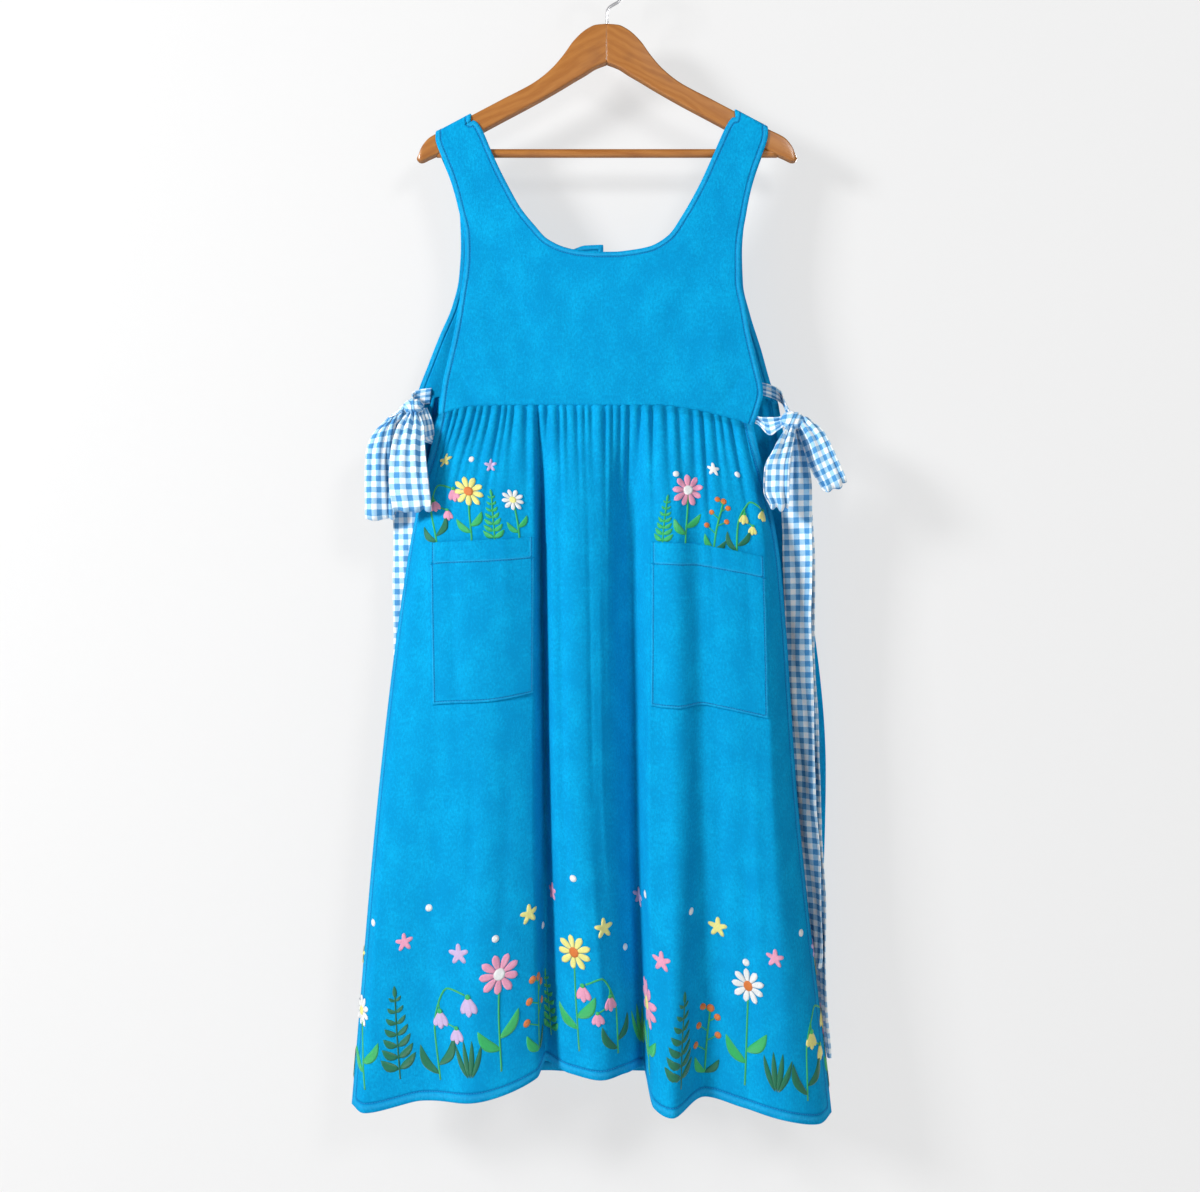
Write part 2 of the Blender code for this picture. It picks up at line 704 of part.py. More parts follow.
def skirt_grid(folds, gathers, seam, side, rows):
    columns = skirt_columns(folds, gathers)
    return [[skirt_point(folds, gathers, seam, side, x, down) for x in columns] for down in rows]


def pocket(name, skirt, rows, first, last, look):
    """A patch pocket: the skirt's own points between two folds, moved out."""
    columns = skirt_columns(FRONT_FOLDS, FRONT_GATHERS)
    start = columns.index(FRONT_FOLDS[first][0])
    end = columns.index(FRONT_FOLDS[last][0]) + 1
    under = [line[start:end] for line, down in zip(skirt, rows) if POCKET_TOP <= down <= POCKET_FOOT]
    points, quads = joined([under])
    normals = normals_of(points, quads)
    out = SKIRT_WALL / 2 + LAY_GAP + POCKET_WALL / 2
    width = end - start
    moved = [p + (n if n.y < 0 else -n) * out for p, n in zip(points, normals)]
    grid = [moved[k : k + width] for k in range(0, len(moved), width)]
    wall(name, [grid], POCKET_WALL, look)


def on_knot(row, knot_sizes):
    """The same row of a ribbon, moved straight in from outside until its end meets the knot."""
    centre, radii = Vector(knot_sizes[0]), knot_sizes[1]
    away = (Vector(row[:3]) - centre).normalized()
    flat = flat_way(row[4], row[5])
    distance = 1.5 * max(radii)
    while all(
        outside_knot(centre + away * distance + flat * row[3] * side, centre, radii) > KNOT_GAP
        for side in (-0.5, -0.25, 0, 0.25, 0.5)
    ):
        distance -= SEAT_STEP
    return (*(centre + away * distance), *row[3:])


def outside_knot(point, centre, radii):
    """How far a point lies outside a knot, along the line to its centre."""
    away = point - centre
    ball = Vector(away[i] / radii[i] for i in range(3))
    return away.length * (1 - knot_crease(ball) / ball.length)


def knot_crease(ball):
    """A knot bulges between its four folds."""
    return 1 - KNOT_CREASE * math.cos(4 * math.atan2(ball.z, ball.x))


def flat_way(turn, tilt):
    """The direction of a ribbon's width."""
    turn, tilt = math.radians(turn), math.radians(tilt)
    return Vector((math.cos(turn) * math.cos(tilt), math.sin(turn) * math.cos(tilt), math.sin(tilt)))


def ribbon(name, rows, look):
    """A strip of cloth along the rows of a table, drawn smoothly through them."""
    numbered = tuple((k, *row) for k, row in enumerate(rows))
    grid = []
    for k in range((len(rows) - 1) * RIBBON_LENGTH_STEPS + 1):
        x, y, z, width, turn, tilt = read(numbered, k / RIBBON_LENGTH_STEPS)
        line = []
        for step in range(RIBBON_WIDTH_STEPS + 1):
            line.append(Vector((x, y, z)) + flat_way(turn, tilt) * width * (step / RIBBON_WIDTH_STEPS - 0.5))
        grid.append(line)
    wall(name, [grid], TIE_WALL, look)


def knot(name, centre, radii, look):
    mesh = bmesh.new()
    bmesh.ops.create_uvsphere(mesh, u_segments=12, v_segments=8, radius=1.0)
    for vert in mesh.verts:
        crease = knot_crease(vert.co)
        vert.co = Vector(centre) + Vector(vert.co[i] * radii[i] * crease for i in range(3))
    finish(name, mesh, look)


def cylinder(name, start, end, radius, sides, look):
    mesh = bmesh.new()
    made = bmesh.ops.create_cone(
        mesh,
        cap_ends=True,
        segments=sides,
        radius1=radius,
        radius2=radius,
        depth=(end - start).length,
    )
    turn = (end - start).to_track_quat("Z", "Y")
    for vert in made["verts"]:
        vert.co = turn @ vert.co + (start + end) / 2
    return finish(name, mesh, look)


def arm_section(across, top, under):
    """A rounded rectangle across an arm, four corners of three points each."""
    ring = []
    half_height = (top - under) / 2
    rounding = min(ARM_ROUND, half_height * 0.8)
    middle = (top + under) / 2
    for corner in range(4):
        side_y = 1 if corner in (0, 3) else -1
        side_z = 1 if corner in (0, 1) else -1
        for step in range(3):
            angle = math.radians(90 * corner + 45 * step)
            y = side_y * (ARM_HALF_DEPTH - rounding) + rounding * math.cos(angle)
            z = middle + side_z * (half_height - rounding) + rounding * math.sin(angle)
            ring.append(Vector((across, y, z)))
    return ring


def hanger_arm(name, side, look):
    mesh = bmesh.new()
    rings = []
    for place, top, under in ARM:
        across = side * max(place, SEAM_GAP / 2)
        rings.append([mesh.verts.new(point) for point in arm_section(across, top, under)])
    for near, far in zip(rings, rings[1:]):
        for k in range(len(near)):
            j = (k + 1) % len(near)
            mesh.faces.new((near[k], near[j], far[j], far[k]))
    mesh.faces.new(rings[0])
    mesh.faces.new(rings[-1])
    arm = finish(name, mesh, look)
    reach = BAR_HALF_LENGTH + BAR_BORE_CLEARANCE
    start = Vector((side * BORE_START, 0, BAR_HEIGHT))
    end = Vector((side * reach, 0, BAR_HEIGHT))
    cutter = cylinder(name + "_bore", start, end, BAR_RADIUS + BAR_BORE_CLEARANCE, 16, look)
    cutter.hide_render = True
    cutter.display_type = "WIRE"
    bore = arm.modifiers.new("Bore", "BOOLEAN")
    bore.object = cutter
    bore.operation = "DIFFERENCE"


def hook(look):
    """A wire hook as one curve: up from the wood, out to the bow, over the top and down."""
    centre = Vector((0, 0, HOOK_WIRE - HOOK_BOW))
    foot = ARM[0][1] + SEAM_GAP
    path = [Vector((0, 0, foot))] + [Vector(point) for point in HOOK_STEM]
    for angle in range(-68, 201, 14):
        turn = math.radians(angle)
        path.append(centre + HOOK_BOW * Vector((math.cos(turn), 0, math.sin(turn))))
    data = bpy.data.curves.new("hanger_hook", "CURVE")
    data.dimensions = "3D"
    line = data.splines.new("POLY")
    line.points.add(len(path) - 1)
    for point, place in zip(line.points, path):
        point.co = (*place, 1)
    data.bevel_depth = HOOK_WIRE
    data.bevel_resolution = 2
    data.use_fill_caps = True
    data.materials.append(look)
    made = bpy.data.objects.new("hanger_hook", data)
    bpy.context.collection.objects.link(made)


def clear_scene():
    for old in list(bpy.data.objects):
        bpy.data.objects.remove(old, do_unlink=True)


def build_hanger():
    wood = material("wood", WOOD, 0.35)
    hanger_arm("hanger_arm_left", -1, wood)
    hanger_arm("hanger_arm_right", 1, wood)
    start = Vector((-BAR_HALF_LENGTH, 0, BAR_HEIGHT))
    end = Vector((BAR_HALF_LENGTH, 0, BAR_HEIGHT))
    cylinder("hanger_bar", start, end, BAR_RADIUS, 14, wood)
    hook(material("steel", STEEL, 0.3, 1.0))


def build_bodice():
    cloth = material("bodice_cotton", BLUE, 0.85)

    def front_cut(across):
        return front_seam(across) + SEAM_GAP / 2 + SEAM_SAG

    def back_cut(across):
        return back_seam(across) + SEAM_GAP / 2 + SEAM_SAG

    left = bodice_half(FRONT_LEFT_ARMHOLE, FRONT_LEFT_NECK, front_seam, -1)
    right = bodice_half(FRONT_RIGHT_ARMHOLE, FRONT_RIGHT_NECK, front_seam, -1)
    right = [[row[::-1] for row in grid] for grid in right]
    wall("front_bodice", left + right, BODICE_WALL, cloth, [front_cut])
    half = bodice_half(BACK_LEFT_ARMHOLE, BACK_LEFT_NECK, back_seam, 1)
    wall("back_bodice_left", half, BODICE_WALL, cloth, [back_cut])
    half = bodice_half(BACK_RIGHT_ARMHOLE, BACK_RIGHT_NECK, back_seam, 1, BACK_LAP)
    wall("back_bodice_right", half, BODICE_WALL, cloth, [back_cut])
    horn = material("button", HORN, 0.4)
    for number, height in enumerate(BUTTON_HEIGHTS, 1):
        face = stand(height, 1) + BACK_LAP + BODICE_WALL / 2 + LAY_GAP
        start = Vector((BUTTON_ACROSS, face, height))
        end = Vector((BUTTON_ACROSS, face + BUTTON_DEPTH, height))
        cylinder(f"button_{number}", start, end, BUTTON_RADIUS, 20, horn)


def build_skirts():
    cloth = material("skirt_cotton", DEEP_BLUE, 0.85)

    def front_cut(across):
        return front_seam(across) - SEAM_GAP / 2

    def back_cut(across):
        return back_seam(across) - SEAM_GAP / 2

    front = skirt_grid(FRONT_FOLDS, FRONT_GATHERS, front_seam, -1, FRONT_ROWS)
    wall("front_skirt", [front], SKIRT_WALL, cloth, [front_cut])
    back = skirt_grid(BACK_FOLDS, back_gathers(), back_seam, 1, BACK_ROWS)
    wall("back_skirt", [back], SKIRT_WALL, cloth, [back_cut])
    pocket("pocket_left", front, FRONT_ROWS, 2, 4, cloth)
    pocket("pocket_right", front, FRONT_ROWS, 10, 14, cloth)


def build_ties():
    cloth = material("gingham_cotton", GINGHAM, 0.85)
    for ties, sizes in ((LEFT_TIES, KNOTS["knot_left"]), (RIGHT_TIES, KNOTS["knot_right"])):
        for name, rows in ties.items():
            starts = () if name.startswith("tie") else (on_knot(rows[0], sizes),)
            ends = () if name.startswith("tail") else (on_knot(rows[-1], sizes),)
            middle = rows[len(starts) : len(rows) - len(ends)]
            ribbon(name, starts + middle + ends, cloth)
    for name, (centre, radii) in KNOTS.items():
        knot(name, centre, radii, cloth)


clear_scene()
build_hanger()
build_bodice()
build_skirts()
build_ties()
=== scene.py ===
"""An apron dress of sky-blue cotton with gingham bows, hanging on a wooden hanger.

Metres throughout, +Z up, front towards -Y, and the origin where the hook rests on its rail."""

import math

import bpy
import numpy as np
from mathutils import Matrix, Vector


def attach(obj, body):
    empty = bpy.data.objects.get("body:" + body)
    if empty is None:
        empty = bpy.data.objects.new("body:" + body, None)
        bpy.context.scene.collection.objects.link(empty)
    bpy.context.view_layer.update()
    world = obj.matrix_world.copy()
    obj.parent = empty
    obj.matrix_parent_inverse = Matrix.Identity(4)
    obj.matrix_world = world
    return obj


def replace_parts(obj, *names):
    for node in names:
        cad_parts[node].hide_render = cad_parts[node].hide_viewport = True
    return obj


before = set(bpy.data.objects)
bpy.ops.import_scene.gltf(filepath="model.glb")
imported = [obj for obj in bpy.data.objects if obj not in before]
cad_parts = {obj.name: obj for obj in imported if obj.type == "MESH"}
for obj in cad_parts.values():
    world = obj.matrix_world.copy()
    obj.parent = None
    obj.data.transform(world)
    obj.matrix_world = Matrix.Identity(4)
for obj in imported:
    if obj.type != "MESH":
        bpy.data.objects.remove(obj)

MM = 0.001
scene = bpy.context.scene
scene.view_settings.view_transform = "Standard"
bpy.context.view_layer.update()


# The room: a pale wall close behind the dress and a pale floor well below its hem.
# The camera looks straight on from the height of the pockets, as in the photograph.
WALL_PLACE = 0.058
FLOOR_HEIGHT = -1.56
ROOM_REACH = 4.0
CAMERA_PLACE = (-0.0082, -1.70, -0.7324)
CAMERA_LENS = 43.44
SKY_LIGHT = 0.17
BACKDROP = (4.2, 4.2, 4.2, 1.0)
ROOM_PAINT = (0.20, 0.20, 0.20, 1.0)
ROOM_GLOW = 0.62
FLOOR_PAINT = (0.74, 0.74, 0.74, 1.0)
# name, place, the point it faces, side in metres and power in watts
LIGHTS = (
    ("window", (-2.45, -1.75, 0.3), (0, 0, -0.7), 0.7, 122),
    ("ceiling", (1.3, -2.5, 0.7), (0, 0, -0.6), 0.7, 34),
    ("behind", (1.6, 2.4, 0.4), (0, 0, -0.7), 1.2, 74),
)

lens = bpy.data.cameras.new("camera")
lens.lens = CAMERA_LENS
lens.sensor_width = 36
camera = bpy.data.objects.new("camera", lens)
camera.location = CAMERA_PLACE
camera.rotation_euler = (math.radians(90), 0, 0)
scene.collection.objects.link(camera)
scene.camera = camera

room_paint = bpy.data.materials.new("room_paint")
room_paint.use_nodes = True
plaster = room_paint.node_tree.nodes["Principled BSDF"]
plaster.inputs["Base Color"].default_value = ROOM_PAINT
plaster.inputs["Roughness"].default_value = 0.9
plaster.inputs["Emission Color"].default_value = (1.0, 1.0, 1.0, 1.0)
plaster.inputs["Emission Strength"].default_value = ROOM_GLOW
one_sided = room_paint.node_tree
facing = one_sided.nodes.new("ShaderNodeNewGeometry")
unseen = one_sided.nodes.new("ShaderNodeBsdfTransparent")
choice = one_sided.nodes.new("ShaderNodeMixShader")
one_sided.links.new(facing.outputs["Backfacing"], choice.inputs["Fac"])
one_sided.links.new(plaster.outputs[0], choice.inputs[1])
one_sided.links.new(unseen.outputs[0], choice.inputs[2])
one_sided.links.new(choice.outputs[0], one_sided.nodes["Material Output"].inputs["Surface"])

floor_paint = bpy.data.materials.new("floor_paint")
floor_paint.use_nodes = True
boards = floor_paint.node_tree.nodes["Principled BSDF"]
boards.inputs["Base Color"].default_value = FLOOR_PAINT
boards.inputs["Roughness"].default_value = 0.8


def room_side(name, corners, paint):
    sheet = bpy.data.meshes.new(name)
    sheet.from_pydata(corners, [], [(0, 1, 2, 3)])
    sheet.materials.append(paint)
    side = bpy.data.objects.new(name, sheet)
    scene.collection.objects.link(side)
    return side


wall = room_side(
    "wall",
    [
        (-ROOM_REACH, WALL_PLACE, FLOOR_HEIGHT),
        (ROOM_REACH, WALL_PLACE, FLOOR_HEIGHT),
        (ROOM_REACH, WALL_PLACE, ROOM_REACH),
        (-ROOM_REACH, WALL_PLACE, ROOM_REACH),
    ],
    room_paint,
)
wall.visible_diffuse = False
wall.visible_glossy = False
wall.visible_shadow = False
room_side(
    "floor",
    [
        (-ROOM_REACH, -ROOM_REACH, FLOOR_HEIGHT),
        (ROOM_REACH, -ROOM_REACH, FLOOR_HEIGHT),
        (ROOM_REACH, ROOM_REACH, FLOOR_HEIGHT),
        (-ROOM_REACH, ROOM_REACH, FLOOR_HEIGHT),
    ],
    floor_paint,
)

world = bpy.data.worlds.new("daylight")
world.use_nodes = True
backdrop = world.node_tree.nodes["Background"]
backdrop.inputs["Strength"].default_value = SKY_LIGHT
seen = world.node_tree.nodes.new("ShaderNodeLightPath")
pale = world.node_tree.nodes.new("ShaderNodeMix")
pale.data_type = "RGBA"
pale.inputs[6].default_value = (1.0, 1.0, 1.0, 1.0)
pale.inputs[7].default_value = BACKDROP
world.node_tree.links.new(seen.outputs["Is Camera Ray"], pale.inputs[0])
world.node_tree.links.new(pale.outputs[2], backdrop.inputs["Color"])
scene.world = world


def soft_light(name, place, aim, size, power):
    lamp = bpy.data.lights.new(name, "AREA")
    lamp.shape = "SQUARE"
    lamp.size = size
    lamp.energy = power
    holder = bpy.data.objects.new(name, lamp)
    holder.location = place
    holder.rotation_euler = (Vector(aim) - Vector(place)).to_track_quat("-Z", "Y").to_euler()
    scene.collection.objects.link(holder)


for light in LIGHTS:
    soft_light(*light)


# The hanger's two arms are beech boards sawn to a gentle bow, rounded along every edge and
# varnished to a honey brown. They meet in a glued joint under the hook.
# across, top and underside
ARM = (
    (0.0000, -0.0620, -0.1080),
    (0.0130, -0.0632, -0.1130),
    (0.0250, -0.0690, -0.1205),
    (0.0395, -0.0825, -0.1290),
    (0.0510, -0.0985, -0.1360),
    (0.0655, -0.1150, -0.1445),
    (0.0850, -0.1305, -0.1555),
    (0.1225, -0.1505, -0.1755),
    (0.1580, -0.1692, -0.1945),
    (0.1900, -0.1862, -0.2115),
    (0.2080, -0.1955, -0.2195),
    (0.2170, -0.2060, -0.2235),
    (0.2215, -0.2160, -0.2240),
)
ARM_HALF_DEPTH = 0.0065
ARM_ROUND = 0.0030
# half the gap at each seam, how near the middle an arm's end comes, and how it eases in there
SEAM = 0.00015
JOINT = 0.00002
JOINT_EASE = 0.0004
JOINT_INSET = 0.97
ARM_SECTIONS = 110
ARM_CORNER_STEPS = 6
ARM_SLOPE = math.radians(28)
WOOD_LIGHT = (0.400, 0.160, 0.030, 1.0)
WOOD_MID = (0.300, 0.103, 0.014, 1.0)
WOOD_DARK = (0.180, 0.058, 0.014, 1.0)


class Value:
    """A socket of a material's node tree, on which sums can be written."""

    def __init__(self, tree, socket):
        self.tree = tree
        self.socket = socket

    def sum(self, operation, *values):
        node = self.tree.nodes.new("ShaderNodeMath")
        node.operation = operation
        for slot, value in zip(node.inputs, values):
            if isinstance(value, Value):
                self.tree.links.new(value.socket, slot)
            else:
                slot.default_value = value
        return Value(self.tree, node.outputs[0])

    def __add__(self, other):
        return self.sum("ADD", self, other)

    def __sub__(self, other):
        return self.sum("SUBTRACT", self, other)

    def __rsub__(self, other):
        return self.sum("SUBTRACT", other, self)

    def __mul__(self, other):
        return self.sum("MULTIPLY", self, other)

    def __truediv__(self, other):
        return self.sum("DIVIDE", self, other)

    def __lt__(self, other):
        return self.sum("LESS_THAN", self, other)

    __radd__ = __add__
    __rmul__ = __mul__

    def remainder(self):
        return self.sum("FRACT", self)

    def sine(self):
        return self.sum("SINE", self)

    def size(self):
        return self.sum("ABSOLUTE", self)

    def power(self, exponent):
        return self.sum("POWER", self, exponent)

    def held(self):
        """The value kept from 0 to 1."""
        return self.sum("MINIMUM", self.sum("MAXIMUM", self, 0.0), 1.0)


class Finish:
    """A material. Its settings are the shader's own sockets, and node() adds whatever varies."""

    def __init__(self, name, **settings):
        self.material = bpy.data.materials.new(name)
        self.material.use_nodes = True
        self.tree = self.material.node_tree
        self.surface = self.tree.nodes["Principled BSDF"]
        for socket, value in settings.items():
            self.surface.inputs[socket.replace("_", " ")].default_value = value

    def feed(self, socket, value):
        if isinstance(value, Value):
            self.tree.links.new(value.socket, socket)
        else:
            socket.default_value = value

    def node(self, kind, settings=(), sockets=(), out=0):
        made = self.tree.nodes.new("ShaderNode" + kind)
        for name, value in dict(settings).items():
            if name == "stops":
                for element, (place, colour) in zip(made.color_ramp.elements, value):
                    element.position = place
                    element.color = colour
            else:
                setattr(made, name, value)
        for name, value in dict(sockets).items():
            self.feed(made.inputs[name], value)
        return Value(self.tree, made.outputs[out])

    def place(self, attribute):
        """The three numbers of an attribute, each as a value."""
        vector = self.node("Attribute", {"attribute_name": attribute}, out="Vector")
        split = self.node("SeparateXYZ", (), {"Vector": vector})
        parts = split.socket.node.outputs
        return [Value(self.tree, part) for part in parts]

    def vector(self, x, y, z=0.0):
        return self.node("CombineXYZ", (), {"X": x, "Y": y, "Z": z})

    def noise(self, vector, scale, detail=2.0, roughness=0.5):
        sockets = {"Vector": vector, "Scale": scale, "Detail": detail, "Roughness": roughness}
        return self.node("TexNoise", (), sockets, "Fac")

    def blend(self, factor, first, second):
        """A colour between two, each a plain colour or a node's."""
        made = self.tree.nodes.new("ShaderNodeMix")
        made.data_type = "RGBA"
        self.feed(made.inputs[0], factor)
        self.feed(made.inputs[6], first)
        self.feed(made.inputs[7], second)
        return Value(self.tree, made.outputs[2])

    def colour(self, value):
        self.feed(self.surface.inputs["Base Color"], value)

    def rough(self, value):
        self.feed(self.surface.inputs["Roughness"], value)

    def relief(self, height, distance):
        bump = self.node("Bump", (), {"Height": height, "Distance": distance, "Strength": 1.0})
        self.tree.links.new(bump.socket, self.surface.inputs["Normal"])


def read(rows, places):
    """Columns of a table at places along its first column, on a smooth curve with no overshoot."""
    rows = np.array(sorted(rows), float)
    knots, values = rows[:, 0], rows[:, 1:]
    slopes = np.diff(values, axis=0) / np.diff(knots)[:, None]
    same_way = slopes[:-1] * slopes[1:] > 0
    total = np.where(same_way, slopes[:-1] + slopes[1:], 1.0)
    inner = np.where(same_way, 2 * slopes[:-1] * slopes[1:] / total, 0.0)
    tangents = np.vstack([slopes[:1], inner, slopes[-1:]])
    places = np.clip(np.asarray(places, float), knots[0], knots[-1])
    left = np.clip(np.searchsorted(knots, places, side="right") - 1, 0, len(knots) - 2)
    span = (knots[left + 1] - knots[left])[..., None]
    t = (places - knots[left])[..., None] / span
    return (
        values[left] * (1 + 2 * t) * (1 - t) ** 2
        + span * tangents[left] * t * (1 - t) ** 2
        + values[left + 1] * t * t * (3 - 2 * t)
        - span * tangents[left + 1] * t * t * (1 - t)
    )


def make_piece(name, points, faces, finishes, marks=(), slots=None):
    """A mesh object that rides on the hanger. marks are attributes, a row of three for each point."""
    data = bpy.data.meshes.new(name)
    data.from_pydata(np.asarray(points).tolist(), [], faces)
    for finish in finishes:
        data.materials.append(finish.material)
    if slots is not None:
        data.polygons.foreach_set("material_index", slots)
    for mark, rows in dict(marks).items():
        layer = data.attributes.new(mark, "FLOAT_VECTOR", "POINT")
        layer.data.foreach_set("vector", np.asarray(rows, np.float32).ravel())
    data.validate()
    data.update()
    data.shade_smooth()
    piece = bpy.data.objects.new(name, data)
    scene.collection.objects.link(piece)
    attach(piece, "root")
    return piece


def tube_faces(rings, size):
    """Quads of a closed tube of rings of points, with a many-sided cap at each end."""
    faces = []
    for ring in range(rings - 1):
        for k in range(size):
            j = (k + 1) % size
            near, far = ring * size, (ring + 1) * size
            faces.append((near + k, near + j, far + j, far + k))
    faces.append(tuple(range(size))[::-1])
    faces.append(tuple(range((rings - 1) * size, rings * size)))
    return faces


wood = Finish("beech", Roughness=0.38, Coat_Weight=0.35, Coat_Roughness=0.18)
along, deep, over = wood.place("grain")
drift = wood.noise(wood.vector(along * 9, deep * 40, over * 22), 1.0, 3.0)
figure = wood.noise(wood.vector(along * 30, deep * 300, over * 420 + drift * 9), 1.0, 4.0, 0.6)
rings = ((over * 300 + drift * 14) * 2.2).sine() * 0.5 + 0.5
shade = (figure * 0.9 + rings * 0.35 - 0.22).held()
patch = (wood.noise(wood.vector(along * 26, deep * 10, over * 60), 1.0, 2.0) * 3 - 1.72).held()
honey = wood.node(
    "ValToRGB",
    {"stops": ((0.15, WOOD_MID), (0.85, WOOD_LIGHT))},
    {"Fac": shade},
)
wood.colour(wood.blend(patch * 0.8, honey, WOOD_DARK))
wood.rough(0.34 + figure * 0.14)
wood.relief(figure, 0.00012)


def build_arm(name, side):
    """One arm, as rounded sections along its bow, the last few drawn in to a blunt tip."""
    tip = ARM[-1][0]
    places = np.linspace(JOINT, tip + 0.0012, ARM_SECTIONS)
    places = np.insert(places, 1, JOINT + JOINT_EASE)
    points = []
    marks = []
    for place in places:
        top, under = read(ARM, min(place, tip))
        near_tip = max(0.0, (place - tip + 0.0045) / 0.0057)
        pinch = math.sqrt(max(0.0, 1 - near_tip**2)) * 0.75 + 0.25
        pinch = pinch if place > JOINT else JOINT_INSET
        half_height = (top - under) / 2 * pinch
        half_depth = ARM_HALF_DEPTH * (0.45 + 0.55 * pinch)
        rounding = min(ARM_ROUND, half_height * 0.9, half_depth * 0.9)
        middle = (top + under) / 2
        for corner in range(4):
            side_y = 1 if corner in (0, 3) else -1
            side_z = 1 if corner in (0, 1) else -1
            for step in range(ARM_CORNER_STEPS):
                angle = math.radians(90 * corner + 90 * step / (ARM_CORNER_STEPS - 1))
                y = side_y * (half_depth - rounding) + rounding * math.cos(angle)
                z = middle + side_z * (half_height - rounding) + rounding * math.sin(angle)
                points.append((side * place, y, z))
                run = place * math.cos(ARM_SLOPE) - z * math.sin(ARM_SLOPE)
                rise = place * math.sin(ARM_SLOPE) + z * math.cos(ARM_SLOPE)
                marks.append((run + side * 0.31, y, rise + side * 0.07))
    faces = tube_faces(ARM_SECTIONS + 1, 4 * ARM_CORNER_STEPS)
    if side > 0:
        faces = [face[::-1] for face in faces]
    piece = make_piece(name, points, faces, [wood], {"grain": marks})
    return piece


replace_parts(build_arm("arm_left", -1), "hanger_arm_left")
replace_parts(build_arm("arm_right", 1), "hanger_arm_right")


# The bar is a turned dowel pushed into a blind hole in each arm. Its grain runs along it.
BAR_RADIUS = 0.0050
BAR_HEIGHT = -0.2129
BAR_HALF_LENGTH = 0.1995
BAR_SIDES = 32
BAR_RINGS = 60
points = []
marks = []
for place in np.linspace(-BAR_HALF_LENGTH, BAR_HALF_LENGTH, BAR_RINGS):
    for k in range(BAR_SIDES):
        angle = 2 * math.pi * k / BAR_SIDES
        y = BAR_RADIUS * math.cos(angle)
        z = BAR_RADIUS * math.sin(angle)
        points.append((place, y, BAR_HEIGHT + z))
        marks.append((place * 0.7, y, z + 0.4))
faces = [face[::-1] for face in tube_faces(BAR_RINGS, BAR_SIDES)]
bar = make_piece("bar", points, faces, [wood], {"grain": marks})
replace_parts(bar, "hanger_bar")


# The hook is nickel-plated wire, bent in one sweep over the rail, with a small round end.
# It turns in a hole at the top of the arms.
HOOK_WIRE = 0.0017
HOOK_BOW = 0.0207
HOOK_STEM = ((0, -0.0617), (0, -0.0570), (0, -0.0520), (0.0003, -0.0465), (0.0025, -0.0420))
# degrees of the bow: start, stop and step
HOOK_SWEEP = (-68, 201, 14)
HOOK_STEPS = 110
HOOK_SIDES = 20
nickel = Finish("nickel_wire", Base_Color=(0.62, 0.62, 0.64, 1.0), Metallic=0.85, Roughness=0.36)
turned, _, drawn = nickel.place("grain")
nickel.rough(0.34 + nickel.noise(nickel.vector(turned * 90, drawn * 60), 1.0) * 0.06)
bends = list(HOOK_STEM)
for degrees in range(*HOOK_SWEEP):
    turn = math.radians(degrees)
    bends.append((HOOK_BOW * math.cos(turn), HOOK_WIRE - HOOK_BOW + HOOK_BOW * math.sin(turn)))
numbered = [(k, *place) for k, place in enumerate(bends)]
drawn = read(numbered, np.linspace(0, len(bends) - 1, HOOK_STEPS))
path = [Vector((x, 0, z)) for x, z in drawn]
points = []
marks = []
for k, spot in enumerate(path):
    ahead = (path[min(k + 1, len(path) - 1)] - path[max(k - 1, 0)]).normalized()
    out = ahead.cross(Vector((0, 1, 0))).normalized()
    for step in range(HOOK_SIDES):
        angle = 2 * math.pi * step / HOOK_SIDES
        points.append(spot + (out * math.cos(angle) + Vector((0, 1, 0)) * math.sin(angle)) * HOOK_WIRE)
        marks.append((angle * HOOK_WIRE, 0, k * 0.0014))
hook = make_piece("hook", points, tube_faces(len(path), HOOK_SIDES), [nickel], {"grain": marks})
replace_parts(hook, "hanger_hook")


# The front bodice is one piece of sky-blue cotton twill with both wide straps in one with it,
# faced and topstitched along the neck and the armholes. Each strap turns over an arm of the
# hanger and meets the back's strap in a seam along the top.
BODICE_WALL = 0.0018
# armholes give height and across, necks across and height
FRONT_LEFT_ARMHOLE = (
    (-0.5222, -0.1945),
    (-0.4867, -0.1899),
    (-0.4587, -0.1840),
    (-0.4273, -0.1770),
    (-0.3920, -0.1712),
    (-0.3350, -0.1646),
    (-0.3109, -0.1654),
    (-0.2850, -0.1715),
    (-0.2567, -0.1787),
    (-0.2212, -0.1899),
    (-0.1900, -0.1996),
)
FRONT_RIGHT_ARMHOLE = (
    (-0.5347, 0.1693),
    (-0.5158, 0.1757),
    (-0.4966, 0.1800),
    (-0.4634, 0.1734),
    (-0.4273, 0.1653),
    (-0.3924, 0.1594),
    (-0.3679, 0.1548),
    (-0.3330, 0.1548),
    (-0.2850, 0.1618),
    (-0.2567, 0.1676),
    (-0.2131, 0.1800),
    (-0.1900, 0.1874),
)
FRONT_LEFT_NECK = (
    (-0.0100, -0.3330),
    (-0.0300, -0.3315),
    (-0.0479, -0.3279),
    (-0.0700, -0.3174),
    (-0.0852, -0.3010),
    (-0.1009, -0.2812),
    (-0.1166, -0.2532),
    (-0.1353, -0.2156),
    (-0.1481, -0.1875),
    (-0.1598, -0.1670),
)
FRONT_RIGHT_NECK = (
    (-0.0100, -0.3330),
    (0.0100, -0.3328),
    (0.0244, -0.3313),
    (0.0489, -0.3267),
    (0.0711, -0.3139),
    (0.0897, -0.2871),
    (0.1084, -0.2532),
    (0.1235, -0.2206),
    (0.1381, -0.1903),
    (0.1503, -0.1680),
)
